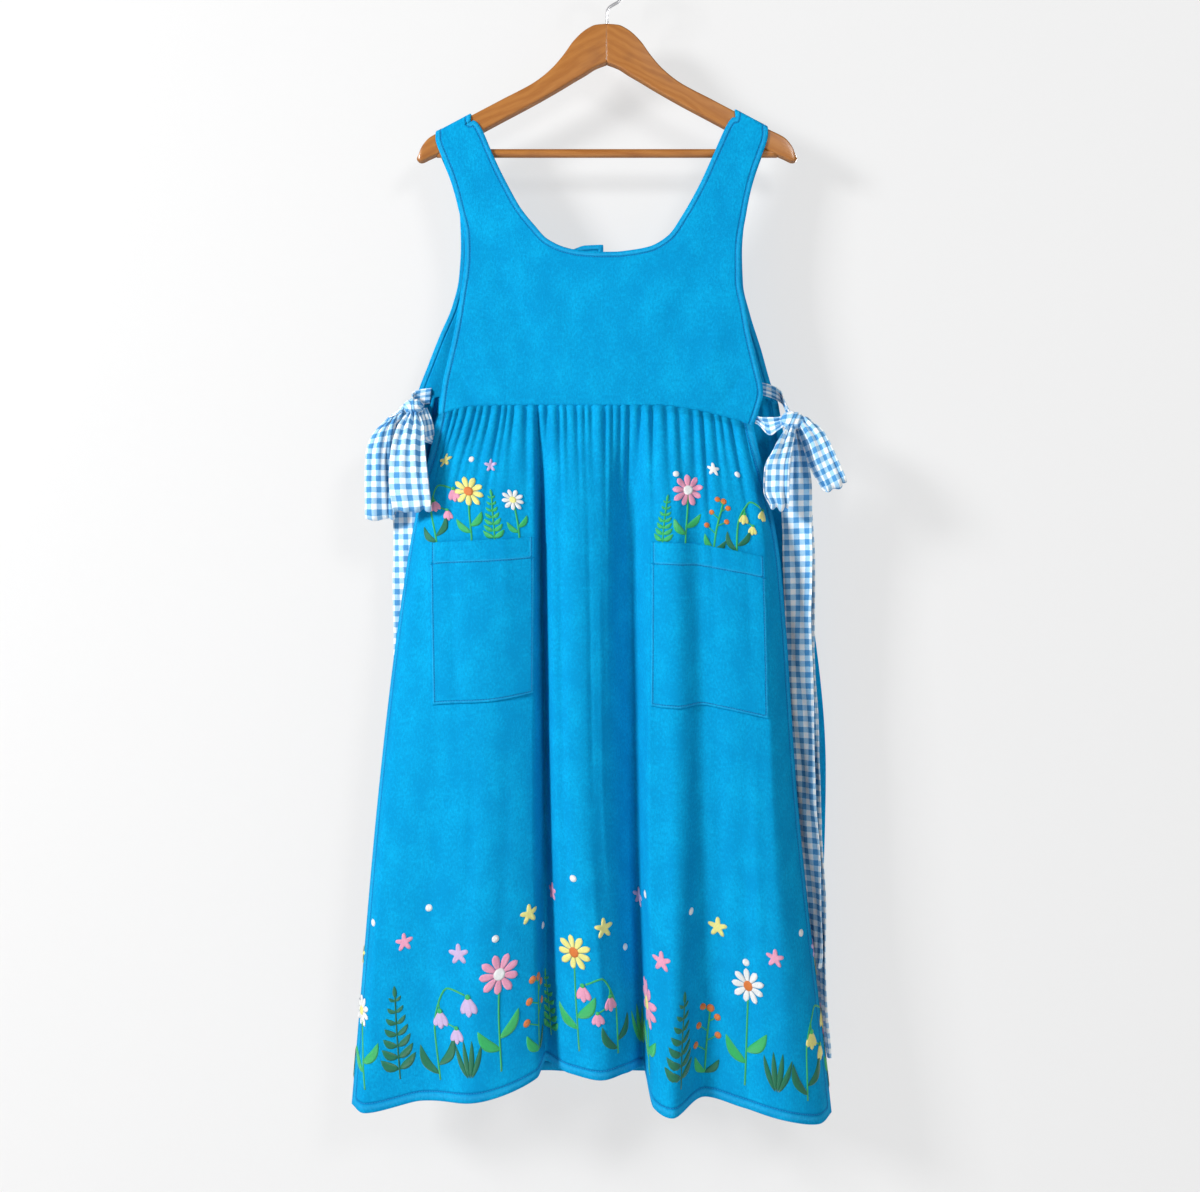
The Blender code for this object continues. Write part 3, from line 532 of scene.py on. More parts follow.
# height, then how far the cloth stands out in front and behind
BODICE_STAND = (
    (-0.5400, 0.0245, 0.0105),
    (-0.5110, 0.0240, 0.0100),
    (-0.4200, 0.0205, 0.0095),
    (-0.3300, 0.0165, 0.0090),
    (-0.2500, 0.0110, 0.0082),
    (-0.2100, 0.0080, 0.0080),
    (-0.1600, 0.0080, 0.0080),
)
# across and height
FRONT_WAIST = (
    (-0.1945, -0.5225),
    (-0.1784, -0.5171),
    (-0.1575, -0.5124),
    (-0.0985, -0.5113),
    (0.0601, -0.5113),
    (0.0913, -0.5148),
    (0.1237, -0.5217),
    (0.1527, -0.5298),
    (0.1693, -0.5350),
)
STRAP_COLUMNS = 26
NECK_COLUMNS = 44
PANEL_ROWS = 80
STRAP_ROWS = 44
TURN_ANGLES = (0, 8, 16, 24, 32, 40, 48, 56, 64, 72, 81, 90)
STRAP_FOOT_SHARE = 0.42
STRAP_ROOT_ARM = -0.2850
STRAP_ROOT_NECK = 0.100
STRAP_END_DROP = 0.0090
SHOULDER_TURN = 0.0045
SHOULDER_LIFT = 0.00495
BACK_LAP_END = 0.055
EDGE_STITCH = 0.0055
# creases, each from one place to another across and up, then its height and half width in mm
FRONT_BODICE_CREASES = (
    (-0.150, -0.300, -0.060, -0.505, -0.9, 14),
    (-0.168, -0.380, -0.120, -0.508, 0.9, 11),
    (-0.110, -0.330, -0.020, -0.500, 0.7, 16),
    (0.128, -0.300, 0.060, -0.500, -0.8, 14),
    (0.140, -0.390, 0.104, -0.510, 1.0, 11),
    (0.090, -0.340, 0.020, -0.470, 0.6, 15),
    (-0.050, -0.350, -0.040, -0.505, -0.5, 12),
    (0.040, -0.400, 0.048, -0.508, -0.6, 10),
    (-0.178, -0.470, -0.150, -0.512, -0.9, 6),
    (0.160, -0.470, 0.130, -0.520, -1.1, 7),
    (-0.176, -0.215, -0.150, -0.290, 0.5, 7),
    (0.168, -0.215, 0.140, -0.290, 0.5, 7),
    (-0.030, -0.336, 0.030, -0.345, 0.5, 5),
)
SKY_BLUE = (0.003, 0.425, 0.765, 1.0)
SKY_BLUE_DEEP = (0.001, 0.265, 0.560, 1.0)
# The pale blue below is a painted highlight for the ridge along each finished edge.
SKY_BLUE_HIGHLIGHT = (0.090, 0.520, 0.900, 1.0)
# The navy below is painted shade for the groove of each stitched seam.
PAINTED_SEAM_SHADE = (0.001, 0.120, 0.380, 1.0)
TWILL_PITCH = 0.00085


def twill(name):
    """Sky-blue twill: slanting ribs, slubbed threads both ways, and a groove along each seam. The groove's
    navy is painted shade, and the pale band on the ridge beside it is a painted highlight.
    """
    made = Finish(name, Roughness=0.88)
    made.surface.inputs["Specular IOR Level"].default_value = 0.05
    across, down, seam = made.place("cut")
    rib = ((across + down) * (2 * math.pi / TWILL_PITCH)).sine() * 0.5 + 0.5
    warp = made.noise(made.vector(across * 1500, down * 170), 1.0, 3.0, 0.6)
    weft = made.noise(made.vector(across * 190 + 7, down * 1500), 1.0, 3.0, 0.6)
    cloudy = made.noise(made.vector(across * 34, down * 22), 1.0, 3.0, 0.55)
    thread = warp * 0.55 + weft * 0.45
    groove = (1 - (seam - 1).size() * 3.2).held().power(2)
    ridge = (1 - (seam - 0.55).size() * 2.6).held()
    fleck = made.noise(made.vector(across * 420, down * 260), 1.0, 3.0, 0.65)
    tone = (thread * 1.3 - 0.5 + (cloudy - 0.5) * 1.3 + (fleck - 0.5) * 1.9 + rib * 0.12).held()
    plain = made.blend(tone, SKY_BLUE_DEEP, SKY_BLUE)
    # The ridge beside each edge is painted paler: a painted highlight where light catches the turned edge.
    painted_edge_highlight = made.blend(ridge * 0.30 * thread, plain, SKY_BLUE_HIGHLIGHT)
    # The seam's groove is painted navy: painted shade in the groove, beside its real bump.
    made.colour(made.blend(groove * 0.75, painted_edge_highlight, PAINTED_SEAM_SHADE))
    made.rough(0.80 + thread * 0.14)
    made.relief(rib * 0.3 + thread * 0.7 + fleck * 1.1 + ridge * 0.5 - groove * 1.8 + cloudy * 1.4, 0.0005)
    return made


bodice_cloth = twill("bodice_twill")


def join_grids(grids):
    """Points, quads and cut places of grids of points that share their edges. A point is six
    numbers: its place in space and its place on the flat cut."""
    quads = []
    start = 0
    for grid in grids:
        rows, columns = grid.shape[:2]
        number = start + np.arange(rows * columns).reshape(rows, columns)
        corners = (number[:-1, :-1], number[:-1, 1:], number[1:, 1:], number[1:, :-1])
        quads.append(np.stack(corners, -1).reshape(-1, 4))
        start += rows * columns
    every = np.concatenate([grid.reshape(-1, 6) for grid in grids])
    _, first, which = np.unique(
        np.round(every[:, :3], 7), axis=0, return_index=True, return_inverse=True
    )
    quads = which.reshape(-1)[np.concatenate(quads)]
    return every[first, :3], quads, every[first, 3:]


def facing_of(points, quads):
    across = points[quads[:, 2]] - points[quads[:, 0]]
    along = points[quads[:, 3]] - points[quads[:, 1]]
    out = np.cross(across, along)
    found = np.zeros_like(points)
    for corner in range(4):
        np.add.at(found, quads[:, corner], out)
    return found / np.maximum(np.linalg.norm(found, axis=1), 1e-12)[:, None]


def outward(points, quads, side):
    """The quads, turned where needed so that they face the front (-1) or the back (1)."""
    return quads if (facing_of(points, quads)[:, 1].mean() * side) > 0 else quads[:, ::-1]


def rim_of(quads):
    edges = set()
    for quad in quads.tolist():
        edges.update(zip(quad, quad[1:] + quad[:1]))
    return sorted(edge for edge in edges if edge[::-1] not in edges)


def cloth(name, points, quads, cut, thickness, finish):
    """A closed shell of even thickness about a middle surface, its edges rounded."""
    normals = facing_of(points, quads)
    rim = rim_of(quads)
    out = {}
    for start, end in rim:
        way = np.cross(points[end] - points[start], normals[start])
        way = way / max(np.linalg.norm(way), 1e-12)
        for corner in (start, end):
            out[corner] = out.get(corner, 0) + way
    corners = sorted(out)
    ways = np.array([out[corner] / max(np.linalg.norm(out[corner]), 1e-12) for corner in corners])
    rounded = points[corners] + ways * thickness * 0.45
    count = len(points)
    place = {corner: 2 * count + k for k, corner in enumerate(corners)}
    faces = quads.tolist()
    faces += (quads[:, ::-1] + count).tolist()
    for start, end in rim:
        faces.append((end, start, place[start], place[end]))
        faces.append((place[end], place[start], start + count, end + count))
    half = normals * thickness / 2
    every = np.concatenate([points + half, points - half, rounded])
    marks = np.concatenate([cut, cut, cut[corners]])
    return make_piece(name, every, faces, [finish], {"cut": marks})


def creases(rows, across, down):
    """Height of soft creases at places on a cut. A row runs from one place to another, in
    metres, and its height and half width are in millimetres."""
    height = np.zeros(np.broadcast(across, down).shape)
    for x0, y0, x1, y1, depth, width in rows:
        length = math.hypot(x1 - x0, y1 - y0)
        ahead = ((across - x0) * (x1 - x0) + (down - y0) * (y1 - y0)) / length**2
        aside = ((across - x0) * (y1 - y0) - (down - y0) * (x1 - x0)) / length
        fade = np.exp(-((np.abs(ahead - 0.5) / 0.42) ** 4))
        height += depth * MM * fade * np.exp(-((aside / (width * MM)) ** 2))
    return height


def near_edges(cut, edges, stitch):
    """How far each place is from the nearest finished edge, as a share of the stitching's."""
    least = np.full(len(cut), 9.0)
    for edge in edges:
        edge = np.asarray(edge)
        for start, end in zip(edge, edge[1:]):
            along = end - start
            share = ((cut - start) @ along / max(along @ along, 1e-12)).clip(0, 1)
            away = np.linalg.norm(cut - start - share[:, None] * along, axis=1)
            least = np.minimum(least, away)
    return np.minimum(least / stitch, 4.0)


def stand(height, side):
    """How far the bodice lies from the hanger's plane. side is -1 in front and 1 behind."""
    return side * read(BODICE_STAND, height)[..., 0 if side < 0 else 1]


def bodice_half(armhole, neck, waist, side, lap=0.0):
    """Grids of half a bodice: the panel below the strap's root, and the strap with its turn."""
    hand = 1 if armhole[0][1] > 0 else -1
    centre = neck[0][0]
    root_x = hand * STRAP_ROOT_NECK
    foot_x = armhole[0][1]
    root_arm_x = read(armhole, STRAP_ROOT_ARM)[0]
    part = np.linspace(0, 1, STRAP_COLUMNS + 1)
    strap_x = root_arm_x + (root_x - root_arm_x) * part
    strap_z = STRAP_ROOT_ARM + (read(neck, root_x)[0] - STRAP_ROOT_ARM) * part
    more = np.linspace(0, 1, NECK_COLUMNS + 1)[1:]
    neck_x = root_x + (centre - root_x) * more
    share = np.concatenate([STRAP_FOOT_SHARE * part, STRAP_FOOT_SHARE + (1 - STRAP_FOOT_SHARE) * more])
    top_x = np.concatenate([strap_x, neck_x])
    top_z = np.concatenate([strap_z, read(neck, neck_x)[:, 0]])
    base_x = foot_x + (centre - foot_x) * share
    base_z = read(waist, base_x)[:, 0] + SEAM
    up = np.linspace(0, 1, PANEL_ROWS + 1)[:, None]
    z = base_z + (top_z - base_z) * up
    edge = read(armhole, armhole[0][0] + (STRAP_ROOT_ARM - armhole[0][0]) * up[:, 0])[:, :1]
    bow = edge - (foot_x + (root_arm_x - foot_x) * up)
    x = base_x + (top_x - base_x) * up + bow * (1 - share) ** 2
    grids = [(x, z)]

    arm_end = armhole[-1][1]
    neck_end = neck[-1][0]
    end_z = [read(ARM, abs(place))[0] - STRAP_END_DROP for place in (arm_end, neck_end)]
    up = np.linspace(0, 1, STRAP_ROWS + 1)
    arm_z = STRAP_ROOT_ARM + (end_z[0] - STRAP_ROOT_ARM) * up
    inner_x = root_x + (neck_end - root_x) * up
    inner_z = read(neck, inner_x)[:, 0]
    inner_z = inner_z + (end_z[1] - inner_z) * up**6
    outer_x = read(armhole, arm_z)[:, 0]
    outer_x = outer_x + (arm_end - outer_x) * up**6
    x = outer_x[:, None] + (inner_x - outer_x)[:, None] * part
    z = arm_z[:, None] + (inner_z - arm_z)[:, None] * part
    grids.append((x, z))

    built = []
    for x, z in grids:
        y = stand(z, side) + side * lap * (1 - x / BACK_LAP_END).clip(0, 1) * (x < BACK_LAP_END)
        built.append(np.stack([x, y, z, x, z, x * 0], -1))
    x = arm_end + (neck_end - arm_end) * part
    top = read(ARM, np.abs(x))[:, 0] - 0.0030
    turn = [built[-1][-1]]
    rows = [(angle, 0) for angle in TURN_ANGLES] + [(90, 1)]
    for angle, last in rows:
        out = 0.0035 + SHOULDER_TURN * math.cos(math.radians(angle))
        rise = SHOULDER_LIFT * math.sin(math.radians(angle))
        out = SEAM if last else out
        line = np.stack([x, x * 0 + side * out, top + rise, x, top + rise, x * 0], -1)
        line[:, 4] = turn[-1][:, 4] + np.linalg.norm(line[:, :3] - turn[-1][:, :3], axis=1)
        turn.append(line)
    built.append(np.array(turn))
    return built


def bodice_edges(half):
    """The edges of half a bodice on its cut: the armhole with the strap, then the neck's."""
    panel, strap, turn = half
    outer = np.concatenate([grid[:, 0, 3:5] for grid in half])
    inner = np.concatenate([panel[-1, STRAP_COLUMNS:, 3:5][::-1], strap[:, -1, 3:5], turn[:, -1, 3:5]])
    return [outer, inner]


def build_bodice(name, halves, edges, side, wrinkles, finish):
    points, quads, cut = join_grids(halves)
    quads = outward(points, quads, side)
    lift = creases(wrinkles, cut[:, 0], cut[:, 1])
    points = points + facing_of(points, quads) * lift[:, None]
    cut[:, 2] = near_edges(cut[:, :2], edges, EDGE_STITCH)
    piece = cloth(name, points, quads, cut, BODICE_WALL, finish)
    return piece, points, quads, cut


left = bodice_half(FRONT_LEFT_ARMHOLE, FRONT_LEFT_NECK, FRONT_WAIST, -1)
right = bodice_half(FRONT_RIGHT_ARMHOLE, FRONT_RIGHT_NECK, FRONT_WAIST, -1)
edges = bodice_edges(left) + bodice_edges(right)
halves = left + [grid[:, ::-1] for grid in right]
bodice, *front_bodice = build_bodice(
    "bodice_front", halves, edges, -1, FRONT_BODICE_CREASES, bodice_cloth
)
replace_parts(bodice, "front_bodice")


# The back bodice is two halves that overlap at the centre, where three buttons close it. Each
# half has its own strap, and its neck and armhole are faced like the front's.
BACK_LEFT_ARMHOLE = (
    (-0.5063, -0.2248),
    (-0.4974, -0.2236),
    (-0.4589, -0.2099),
    (-0.4246, -0.1964),
    (-0.3915, -0.1822),
    (-0.3571, -0.1739),
    (-0.3187, -0.1716),
    (-0.2850, -0.1727),
    (-0.2506, -0.1810),
    (-0.2139, -0.1929),
    (-0.1900, -0.1996),
)
BACK_RIGHT_ARMHOLE = (
    (-0.5051, 0.2019),
    (-0.4826, 0.1930),
    (-0.4412, 0.1812),
    (-0.3997, 0.1681),
    (-0.3642, 0.1599),
    (-0.3264, 0.1587),
    (-0.2850, 0.1622),
    (-0.2482, 0.1705),
    (-0.2044, 0.1830),
    (-0.1850, 0.1874),
)
BACK_LEFT_NECK = (
    (-0.0050, -0.3185),
    (-0.0260, -0.3195),
    (-0.0400, -0.3240),
    (-0.0560, -0.3275),
    (-0.0760, -0.3200),
    (-0.0900, -0.3060),
    (-0.1040, -0.2850),
    (-0.1190, -0.2580),
    (-0.1370, -0.2200),
    (-0.1500, -0.1900),
    (-0.1598, -0.1670),
)
BACK_RIGHT_NECK = (
    (-0.0300, -0.3365),
    (0.0000, -0.3375),
    (0.0300, -0.3360),
    (0.0550, -0.3290),
    (0.0760, -0.3160),
    (0.0930, -0.2920),
    (0.1100, -0.2600),
    (0.1255, -0.2270),
    (0.1400, -0.1950),
    (0.1503, -0.1680),
)
BACK_WAIST = (
    (-0.2248, -0.5066),
    (-0.2000, -0.4975),
    (-0.1500, -0.4950),
    (0.1300, -0.4950),
    (0.1800, -0.4980),
    (0.2019, -0.5054),
)
BACK_LAP = 0.0022
BACK_LEFT_CREASES = (
    (-0.190, -0.420, -0.120, -0.492, 1.0, 12),
    (-0.150, -0.320, -0.070, -0.480, -0.9, 15),
    (-0.100, -0.330, -0.040, -0.490, 0.7, 14),
    (-0.205, -0.470, -0.170, -0.494, -0.8, 8),
)
BACK_RIGHT_CREASES = (
    (0.175, -0.420, 0.110, -0.492, 1.0, 12),
    (0.140, -0.320, 0.080, -0.480, -0.9, 15),
    (0.090, -0.340, 0.050, -0.490, 0.6, 13),
    (-0.0175, -0.355, 0.050, -0.372, 0.5, 7),
    (-0.0175, -0.412, 0.060, -0.400, -0.5, 8),
    (-0.0175, -0.469, 0.055, -0.480, 0.5, 7),
)
half = bodice_half(BACK_LEFT_ARMHOLE, BACK_LEFT_NECK, BACK_WAIST, 1)
edges = bodice_edges(half) + [half[0][:, -1, 3:5]]
piece, *back_bodice_left = build_bodice(
    "bodice_back_left", half, edges, 1, BACK_LEFT_CREASES, bodice_cloth
)
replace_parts(piece, "back_bodice_left")
half = bodice_half(BACK_RIGHT_ARMHOLE, BACK_RIGHT_NECK, BACK_WAIST, 1, BACK_LAP)
edges = bodice_edges(half) + [half[0][:, -1, 3:5]]
piece, *back_bodice_right = build_bodice(
    "bodice_back_right", half, edges, 1, BACK_RIGHT_CREASES, bodice_cloth
)
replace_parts(piece, "back_bodice_right")


# The three buttons are pale blue-grey shell, turned with a raised lip and a dished middle.
# Each is sewn on through four holes with blue thread.
BUTTON_HEIGHTS = (-0.355, -0.412, -0.469)
BUTTON_ACROSS = -0.0175
BUTTON_SIDES = 48
# how far from the middle, and how high above the cloth
BUTTON_PROFILE = (
    (0.0000, 0.0017),
    (0.0042, 0.0017),
    (0.0050, 0.0020),
    (0.0056, 0.0027),
    (0.0063, 0.0030),
    (0.0070, 0.0027),
    (0.0075, 0.0017),
    (0.0072, 0.0006),
    (0.0064, 0.0001),
    (0.0000, 0.0001),
)
BUTTON_HOLE_SPREAD = 0.0014
BUTTON_LAY = 0.0004
THREAD_LIFT = 0.0003
THREAD_RADIUS = 0.00028
STRAND_GAP = 0.00022
THREAD_BLUE = (0.002, 0.250, 0.590, 1.0)
shell_button = Finish("shell_button", Roughness=0.30, Coat_Weight=0.4, Coat_Roughness=0.1)
across, over, _ = shell_button.place("grain")
cloudy = shell_button.noise(shell_button.vector(across * 260, over * 600), 1.0, 3.0)
shell_button.colour(
    shell_button.blend(cloudy, (0.60, 0.70, 0.78, 1.0), (0.86, 0.90, 0.93, 1.0))
)
thread = Finish("blue_thread", Base_Color=THREAD_BLUE, Roughness=0.7)
_, turned, _ = thread.place("grain")
thread.relief((turned * 9000).sine(), 0.00006)


def build_button(number, height):
    face = stand(height, 1) + BACK_LAP + BODICE_WALL / 2 + BUTTON_LAY
    inner = BUTTON_PROFILE[1:-1]
    points = [(BUTTON_ACROSS, face + BUTTON_PROFILE[0][1], height)]
    for radius, rise in inner:
        for k in range(BUTTON_SIDES):
            angle = 2 * math.pi * k / BUTTON_SIDES
            x = BUTTON_ACROSS + radius * math.cos(angle)
            points.append((x, face + rise, height + radius * math.sin(angle)))
    points.append((BUTTON_ACROSS, face + BUTTON_PROFILE[-1][1], height))
    faces = []
    last = len(points) - 1
    for k in range(BUTTON_SIDES):
        j = (k + 1) % BUTTON_SIDES
        faces.append((0, 1 + j, 1 + k))
        for ring in range(len(inner) - 1):
            near, far = 1 + ring * BUTTON_SIDES, 1 + (ring + 1) * BUTTON_SIDES
            faces.append((near + k, near + j, far + j, far + k))
        near = 1 + (len(inner) - 1) * BUTTON_SIDES
        faces.append((near + k, near + j, last))
    marks = [(x - BUTTON_ACROSS, z - height, 0) for x, _, z in points]
    piece = make_piece(f"shell_button_{number}", points, faces, [shell_button], {"grain": marks})
    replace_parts(piece, f"button_{number}")
    return face + BUTTON_PROFILE[0][1]


def add_rod(points, faces, start, end, radius, sides=6):
    """A short rod of thread with tapered ends, added to lists of points and faces."""
    start, end = Vector(start), Vector(end)
    turn = (end - start).to_track_quat("Z", "Y")
    first = len(points)
    for share, size in ((0.0, 0.35), (0.15, 1.0), (0.85, 1.0), (1.0, 0.35)):
        for k in range(sides):
            angle = 2 * math.pi * k / sides
            round_it = turn @ Vector((math.cos(angle), math.sin(angle), 0)) * radius * size
            points.append(start.lerp(end, share) + round_it)
    faces += [tuple(first + corner for corner in face) for face in tube_faces(4, sides)]


points = []
faces = []
for number, height in enumerate(BUTTON_HEIGHTS, 1):
    top = build_button(number, height) + THREAD_LIFT
    for slant in (-1, 1):
        rise = slant * BUTTON_HOLE_SPREAD
        for strand in (-STRAND_GAP, STRAND_GAP):
            start = (BUTTON_ACROSS - BUTTON_HOLE_SPREAD, top, height - rise + strand)
            end = (BUTTON_ACROSS + BUTTON_HOLE_SPREAD, top, height + rise + strand)
            add_rod(points, faces, start, end, THREAD_RADIUS)
button_thread = make_piece("button_thread", points, faces, [thread], {"grain": points})


# The front skirt is a wide panel of the same twill, gathered onto the bodice's arched seam.
# It hangs in deep folds, and its sides and hem are turned and topstitched.
SKIRT_WALL = 0.0014
SKIRT_LENGTH = 0.800
HIP = 0.20
MIDDLE = 0.55
# across at the seam, across and out at hip, middle and hem, and the hem's height
FRONT_FOLDS = (
    (-0.1945, -0.230, 0.016, -0.265, 0.018, -0.295, 0.024, -1.320),
    (-0.1860, -0.220, 0.034, -0.250, 0.040, -0.277, 0.048, -1.322),
    (-0.1680, -0.201, 0.046, -0.197, 0.052, -0.213, 0.050, -1.307),
    (-0.1240, -0.143, 0.052, -0.139, 0.062, -0.148, 0.072, -1.302),
    (-0.0860, -0.084, 0.044, -0.085, 0.048, -0.080, 0.054, -1.280),
    (-0.0780, -0.077, 0.020, -0.072, 0.018, -0.071, 0.020, -1.271),
    (-0.0680, -0.064, 0.046, -0.060, 0.046, -0.045, 0.044, -1.277),
    (-0.0410, -0.035, 0.054, -0.031, 0.060, -0.008, 0.062, -1.280),
    (-0.0040, -0.003, 0.048, -0.001, 0.048, 0.021, 0.046, -1.277),
    (0.0310, 0.028, 0.022, 0.032, 0.018, 0.042, 0.020, -1.278),
    (0.0500, 0.051, 0.050, 0.049, 0.054, 0.053, 0.060, -1.312),
    (0.0700, 0.076, 0.058, 0.078, 0.066, 0.073, 0.076, -1.318),
    (0.0980, 0.104, 0.048, 0.111, 0.050, 0.112, 0.042, -1.305),
    (0.1210, 0.135, 0.050, 0.146, 0.056, 0.153, 0.054, -1.313),
    (0.1520, 0.179, 0.046, 0.185, 0.058, 0.205, 0.072, -1.323),
    (0.1620, 0.189, 0.034, 0.207, 0.040, 0.242, 0.056, -1.331),
    (0.1693, 0.201, 0.016, 0.221, 0.018, 0.259, 0.026, -1.329),
)
# place of each crease at the seam, its depth and its run, both in millimetres
FRONT_GATHERS = (
    (-0.1881, 1.8, 45),
    (-0.1784, 2.2, 60),
    (-0.1718, 1.7, 45),
    (-0.1622, 2.4, 70),
    (-0.1510, 2.6, 85),
    (-0.1436, 1.8, 50),
    (-0.1347, 2.4, 75),
    (-0.1221, 2.8, 95),
    (-0.1159, 1.7, 45),
    (-0.1083, 2.2, 60),
    (-0.0933, 2.8, 80),
    (-0.0807, 3.4, 140),
    (-0.0696, 2.4, 70),
    (-0.0557, 2.8, 90),
    (-0.0480, 1.8, 50),
    (-0.0355, 2.6, 80),
    (-0.0267, 1.9, 50),
    (-0.0192, 1.9, 60),
    (-0.0017, 3.2, 110),
    (0.0057, 1.7, 45),
    (0.0149, 2.2, 70),
    (0.0248, 3.2, 120),
    (0.0392, 2.6, 80),
    (0.0520, 3.2, 120),
    (0.0688, 2.6, 85),
    (0.0821, 2.4, 75),
    (0.0991, 2.6, 90),
    (0.1094, 3.2, 130),
    (0.1237, 2.4, 70),
    (0.1314, 1.8, 50),
    (0.1417, 3.0, 115),
    (0.1585, 2.2, 60),
)
SKIRT_COLUMNS = 250
SKIRT_ROWS = 176
HEM_STITCH = 0.0105
# creases from one place across the seam and length down from it to another, then height and
# half width in mm
FRONT_SKIRT_CREASES = (
    (-0.172, 0.05, -0.176, 0.34, -1.6, 5),
    (-0.150, 0.09, -0.148, 0.46, -1.1, 6),
    (-0.134, 0.34, -0.140, 0.79, -1.6, 7),
    (-0.156, 0.46, -0.160, 0.80, 1.5, 7),
    (-0.112, 0.06, -0.106, 0.28, 1.1, 4),
    (-0.104, 0.36, -0.112, 0.80, -1.3, 6),
    (-0.060, 0.05, -0.058, 0.42, -1.3, 4),
    (-0.052, 0.30, -0.056, 0.76, 1.2, 4),
    (-0.026, 0.06, -0.024, 0.50, -1.5, 4),
    (-0.030, 0.52, -0.033, 0.80, 1.2, 5),
    (-0.012, 0.16, -0.008, 0.62, 1.2, 4),
    (0.012, 0.04, 0.014, 0.36, -1.5, 3),
    (0.020, 0.30, 0.018, 0.76, 1.3, 4),
    (0.047, 0.16, 0.049, 0.79, 4.0, 5),
    (-0.066, 0.16, -0.067, 0.79, 3.2, 5),
    (0.060, 0.34, 0.064, 0.80, -1.4, 4),
    (0.084, 0.36, 0.080, 0.80, 1.2, 5),
    (0.109, 0.34, 0.110, 0.78, -1.6, 5),
    (0.136, 0.05, 0.138, 0.30, -1.2, 4),
    (0.140, 0.36, 0.136, 0.79, 1.4, 5),
    (0.128, 0.50, 0.126, 0.80, -1.2, 4),
    (-0.182, 0.30, -0.184, 0.72, -1.2, 4),
)
skirt_cloth = twill("skirt_twill")


def gathering(gathers, across, down):
    """Depth of the gathers: narrow valleys at the creases with rounder crests between."""
    rows = np.array(gathers)
    left = np.clip(np.searchsorted(rows[:, 0], across, side="right") - 1, 0, len(rows) - 2)
    part = (across - rows[left, 0]) / (rows[left + 1, 0] - rows[left, 0])
    inside = (across > rows[0, 0]) & (across < rows[-1, 0])
    depth, run = ((rows[left, k] + (rows[left + 1, k] - rows[left, k]) * part) * MM for k in (1, 2))
    strength = np.minimum(1.0, 0.6 + down / 0.020) * np.exp(-((down / run) ** 1.6))
    wave = 1 - 2 * (0.5 + 0.5 * np.cos(2 * math.pi * part)) ** 1.35
    return np.where(inside, depth * wave * strength, 0.0)


def skirt_surface(folds, gathers, waist, side, wrinkles, across, down):
    """Points of a skirt, a row for each length down and a column for each place across."""
    table = read(folds, across)
    seam = read(waist, across)[:, 0]
    waist_out = np.abs(stand(seam, side))
    share = down / SKIRT_LENGTH
    x = np.empty((len(down), len(across)))
    out = np.empty_like(x)
    for k, (hip_x, hip_out, middle_x, middle_out, hem_x, hem_out, _) in enumerate(table):
        levels = (
            (0.0, across[k], waist_out[k]),
            (HIP, hip_x, hip_out),
            (MIDDLE, middle_x, middle_out),
            (1.0, hem_x, hem_out),
        )
        x[:, k], out[:, k] = read(levels, share).T
    z = (seam - SEAM) + (table[:, 6] - (seam - SEAM)) * share[:, None]
    out += gathering(gathers, across[None, :], down[:, None])
    out += creases(wrinkles, across[None, :], down[:, None])
    return np.stack([x, side * out, z], -1)


def cut_places(points, down, centre):
    """The place of each point of a grid on the flat cut: along its row, then down from the seam."""
    steps = np.linalg.norm(np.diff(points, axis=1), axis=2)
    run = np.concatenate([np.zeros((len(points), 1)), np.cumsum(steps, axis=1)], axis=1)
    run = run - run[:, centre : centre + 1]
    return run, np.repeat(down[:, None], points.shape[1], axis=1)


def skirt_places(folds, gathers, waist, side, wrinkles):
    """Places across, spaced evenly half by the seam and half by the hem's own length."""
    fine = np.linspace(folds[0][0], folds[-1][0], 2400)
    ends = np.array([0.0, SKIRT_LENGTH])
    rows = skirt_surface(folds, gathers, waist, side, wrinkles, fine, ends)
    seam, hem = (np.linalg.norm(np.diff(row, axis=0), axis=1).cumsum() for row in rows)
    measure = np.concatenate([[0], 0.45 * seam / seam[-1] + 0.55 * hem / hem[-1]])
    return np.interp(np.linspace(0, 1, SKIRT_COLUMNS), measure, fine)


def build_skirt(name, node, folds, gathers, waist, side, wrinkles, finish):
    across = skirt_places(folds, gathers, waist, side, wrinkles)
    down = SKIRT_LENGTH * np.linspace(0, 1, SKIRT_ROWS) ** 1.12
    grid = skirt_surface(folds, gathers, waist, side, wrinkles, across, down)
    run, fall = cut_places(grid, down, int(np.argmin(np.abs(across))))
    sides = np.minimum(run - run[:, :1], run[:, -1:] - run)
    seam = np.minimum(np.minimum(sides, SKIRT_LENGTH - fall) / HEM_STITCH, 4.0)
    whole = np.concatenate([grid, np.stack([run, fall, seam], -1)], axis=2)
    points, quads, cut = join_grids([whole])
    quads = outward(points, quads, side)
    piece = cloth(name, points, quads, cut, SKIRT_WALL, finish)
    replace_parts(piece, node)
    return piece, (across, down, whole), (points, quads, cut)


skirt, front_grid, front_skirt = build_skirt(
    "skirt_front", "front_skirt", FRONT_FOLDS, FRONT_GATHERS, FRONT_WAIST, -1,
    FRONT_SKIRT_CREASES, skirt_cloth,
)


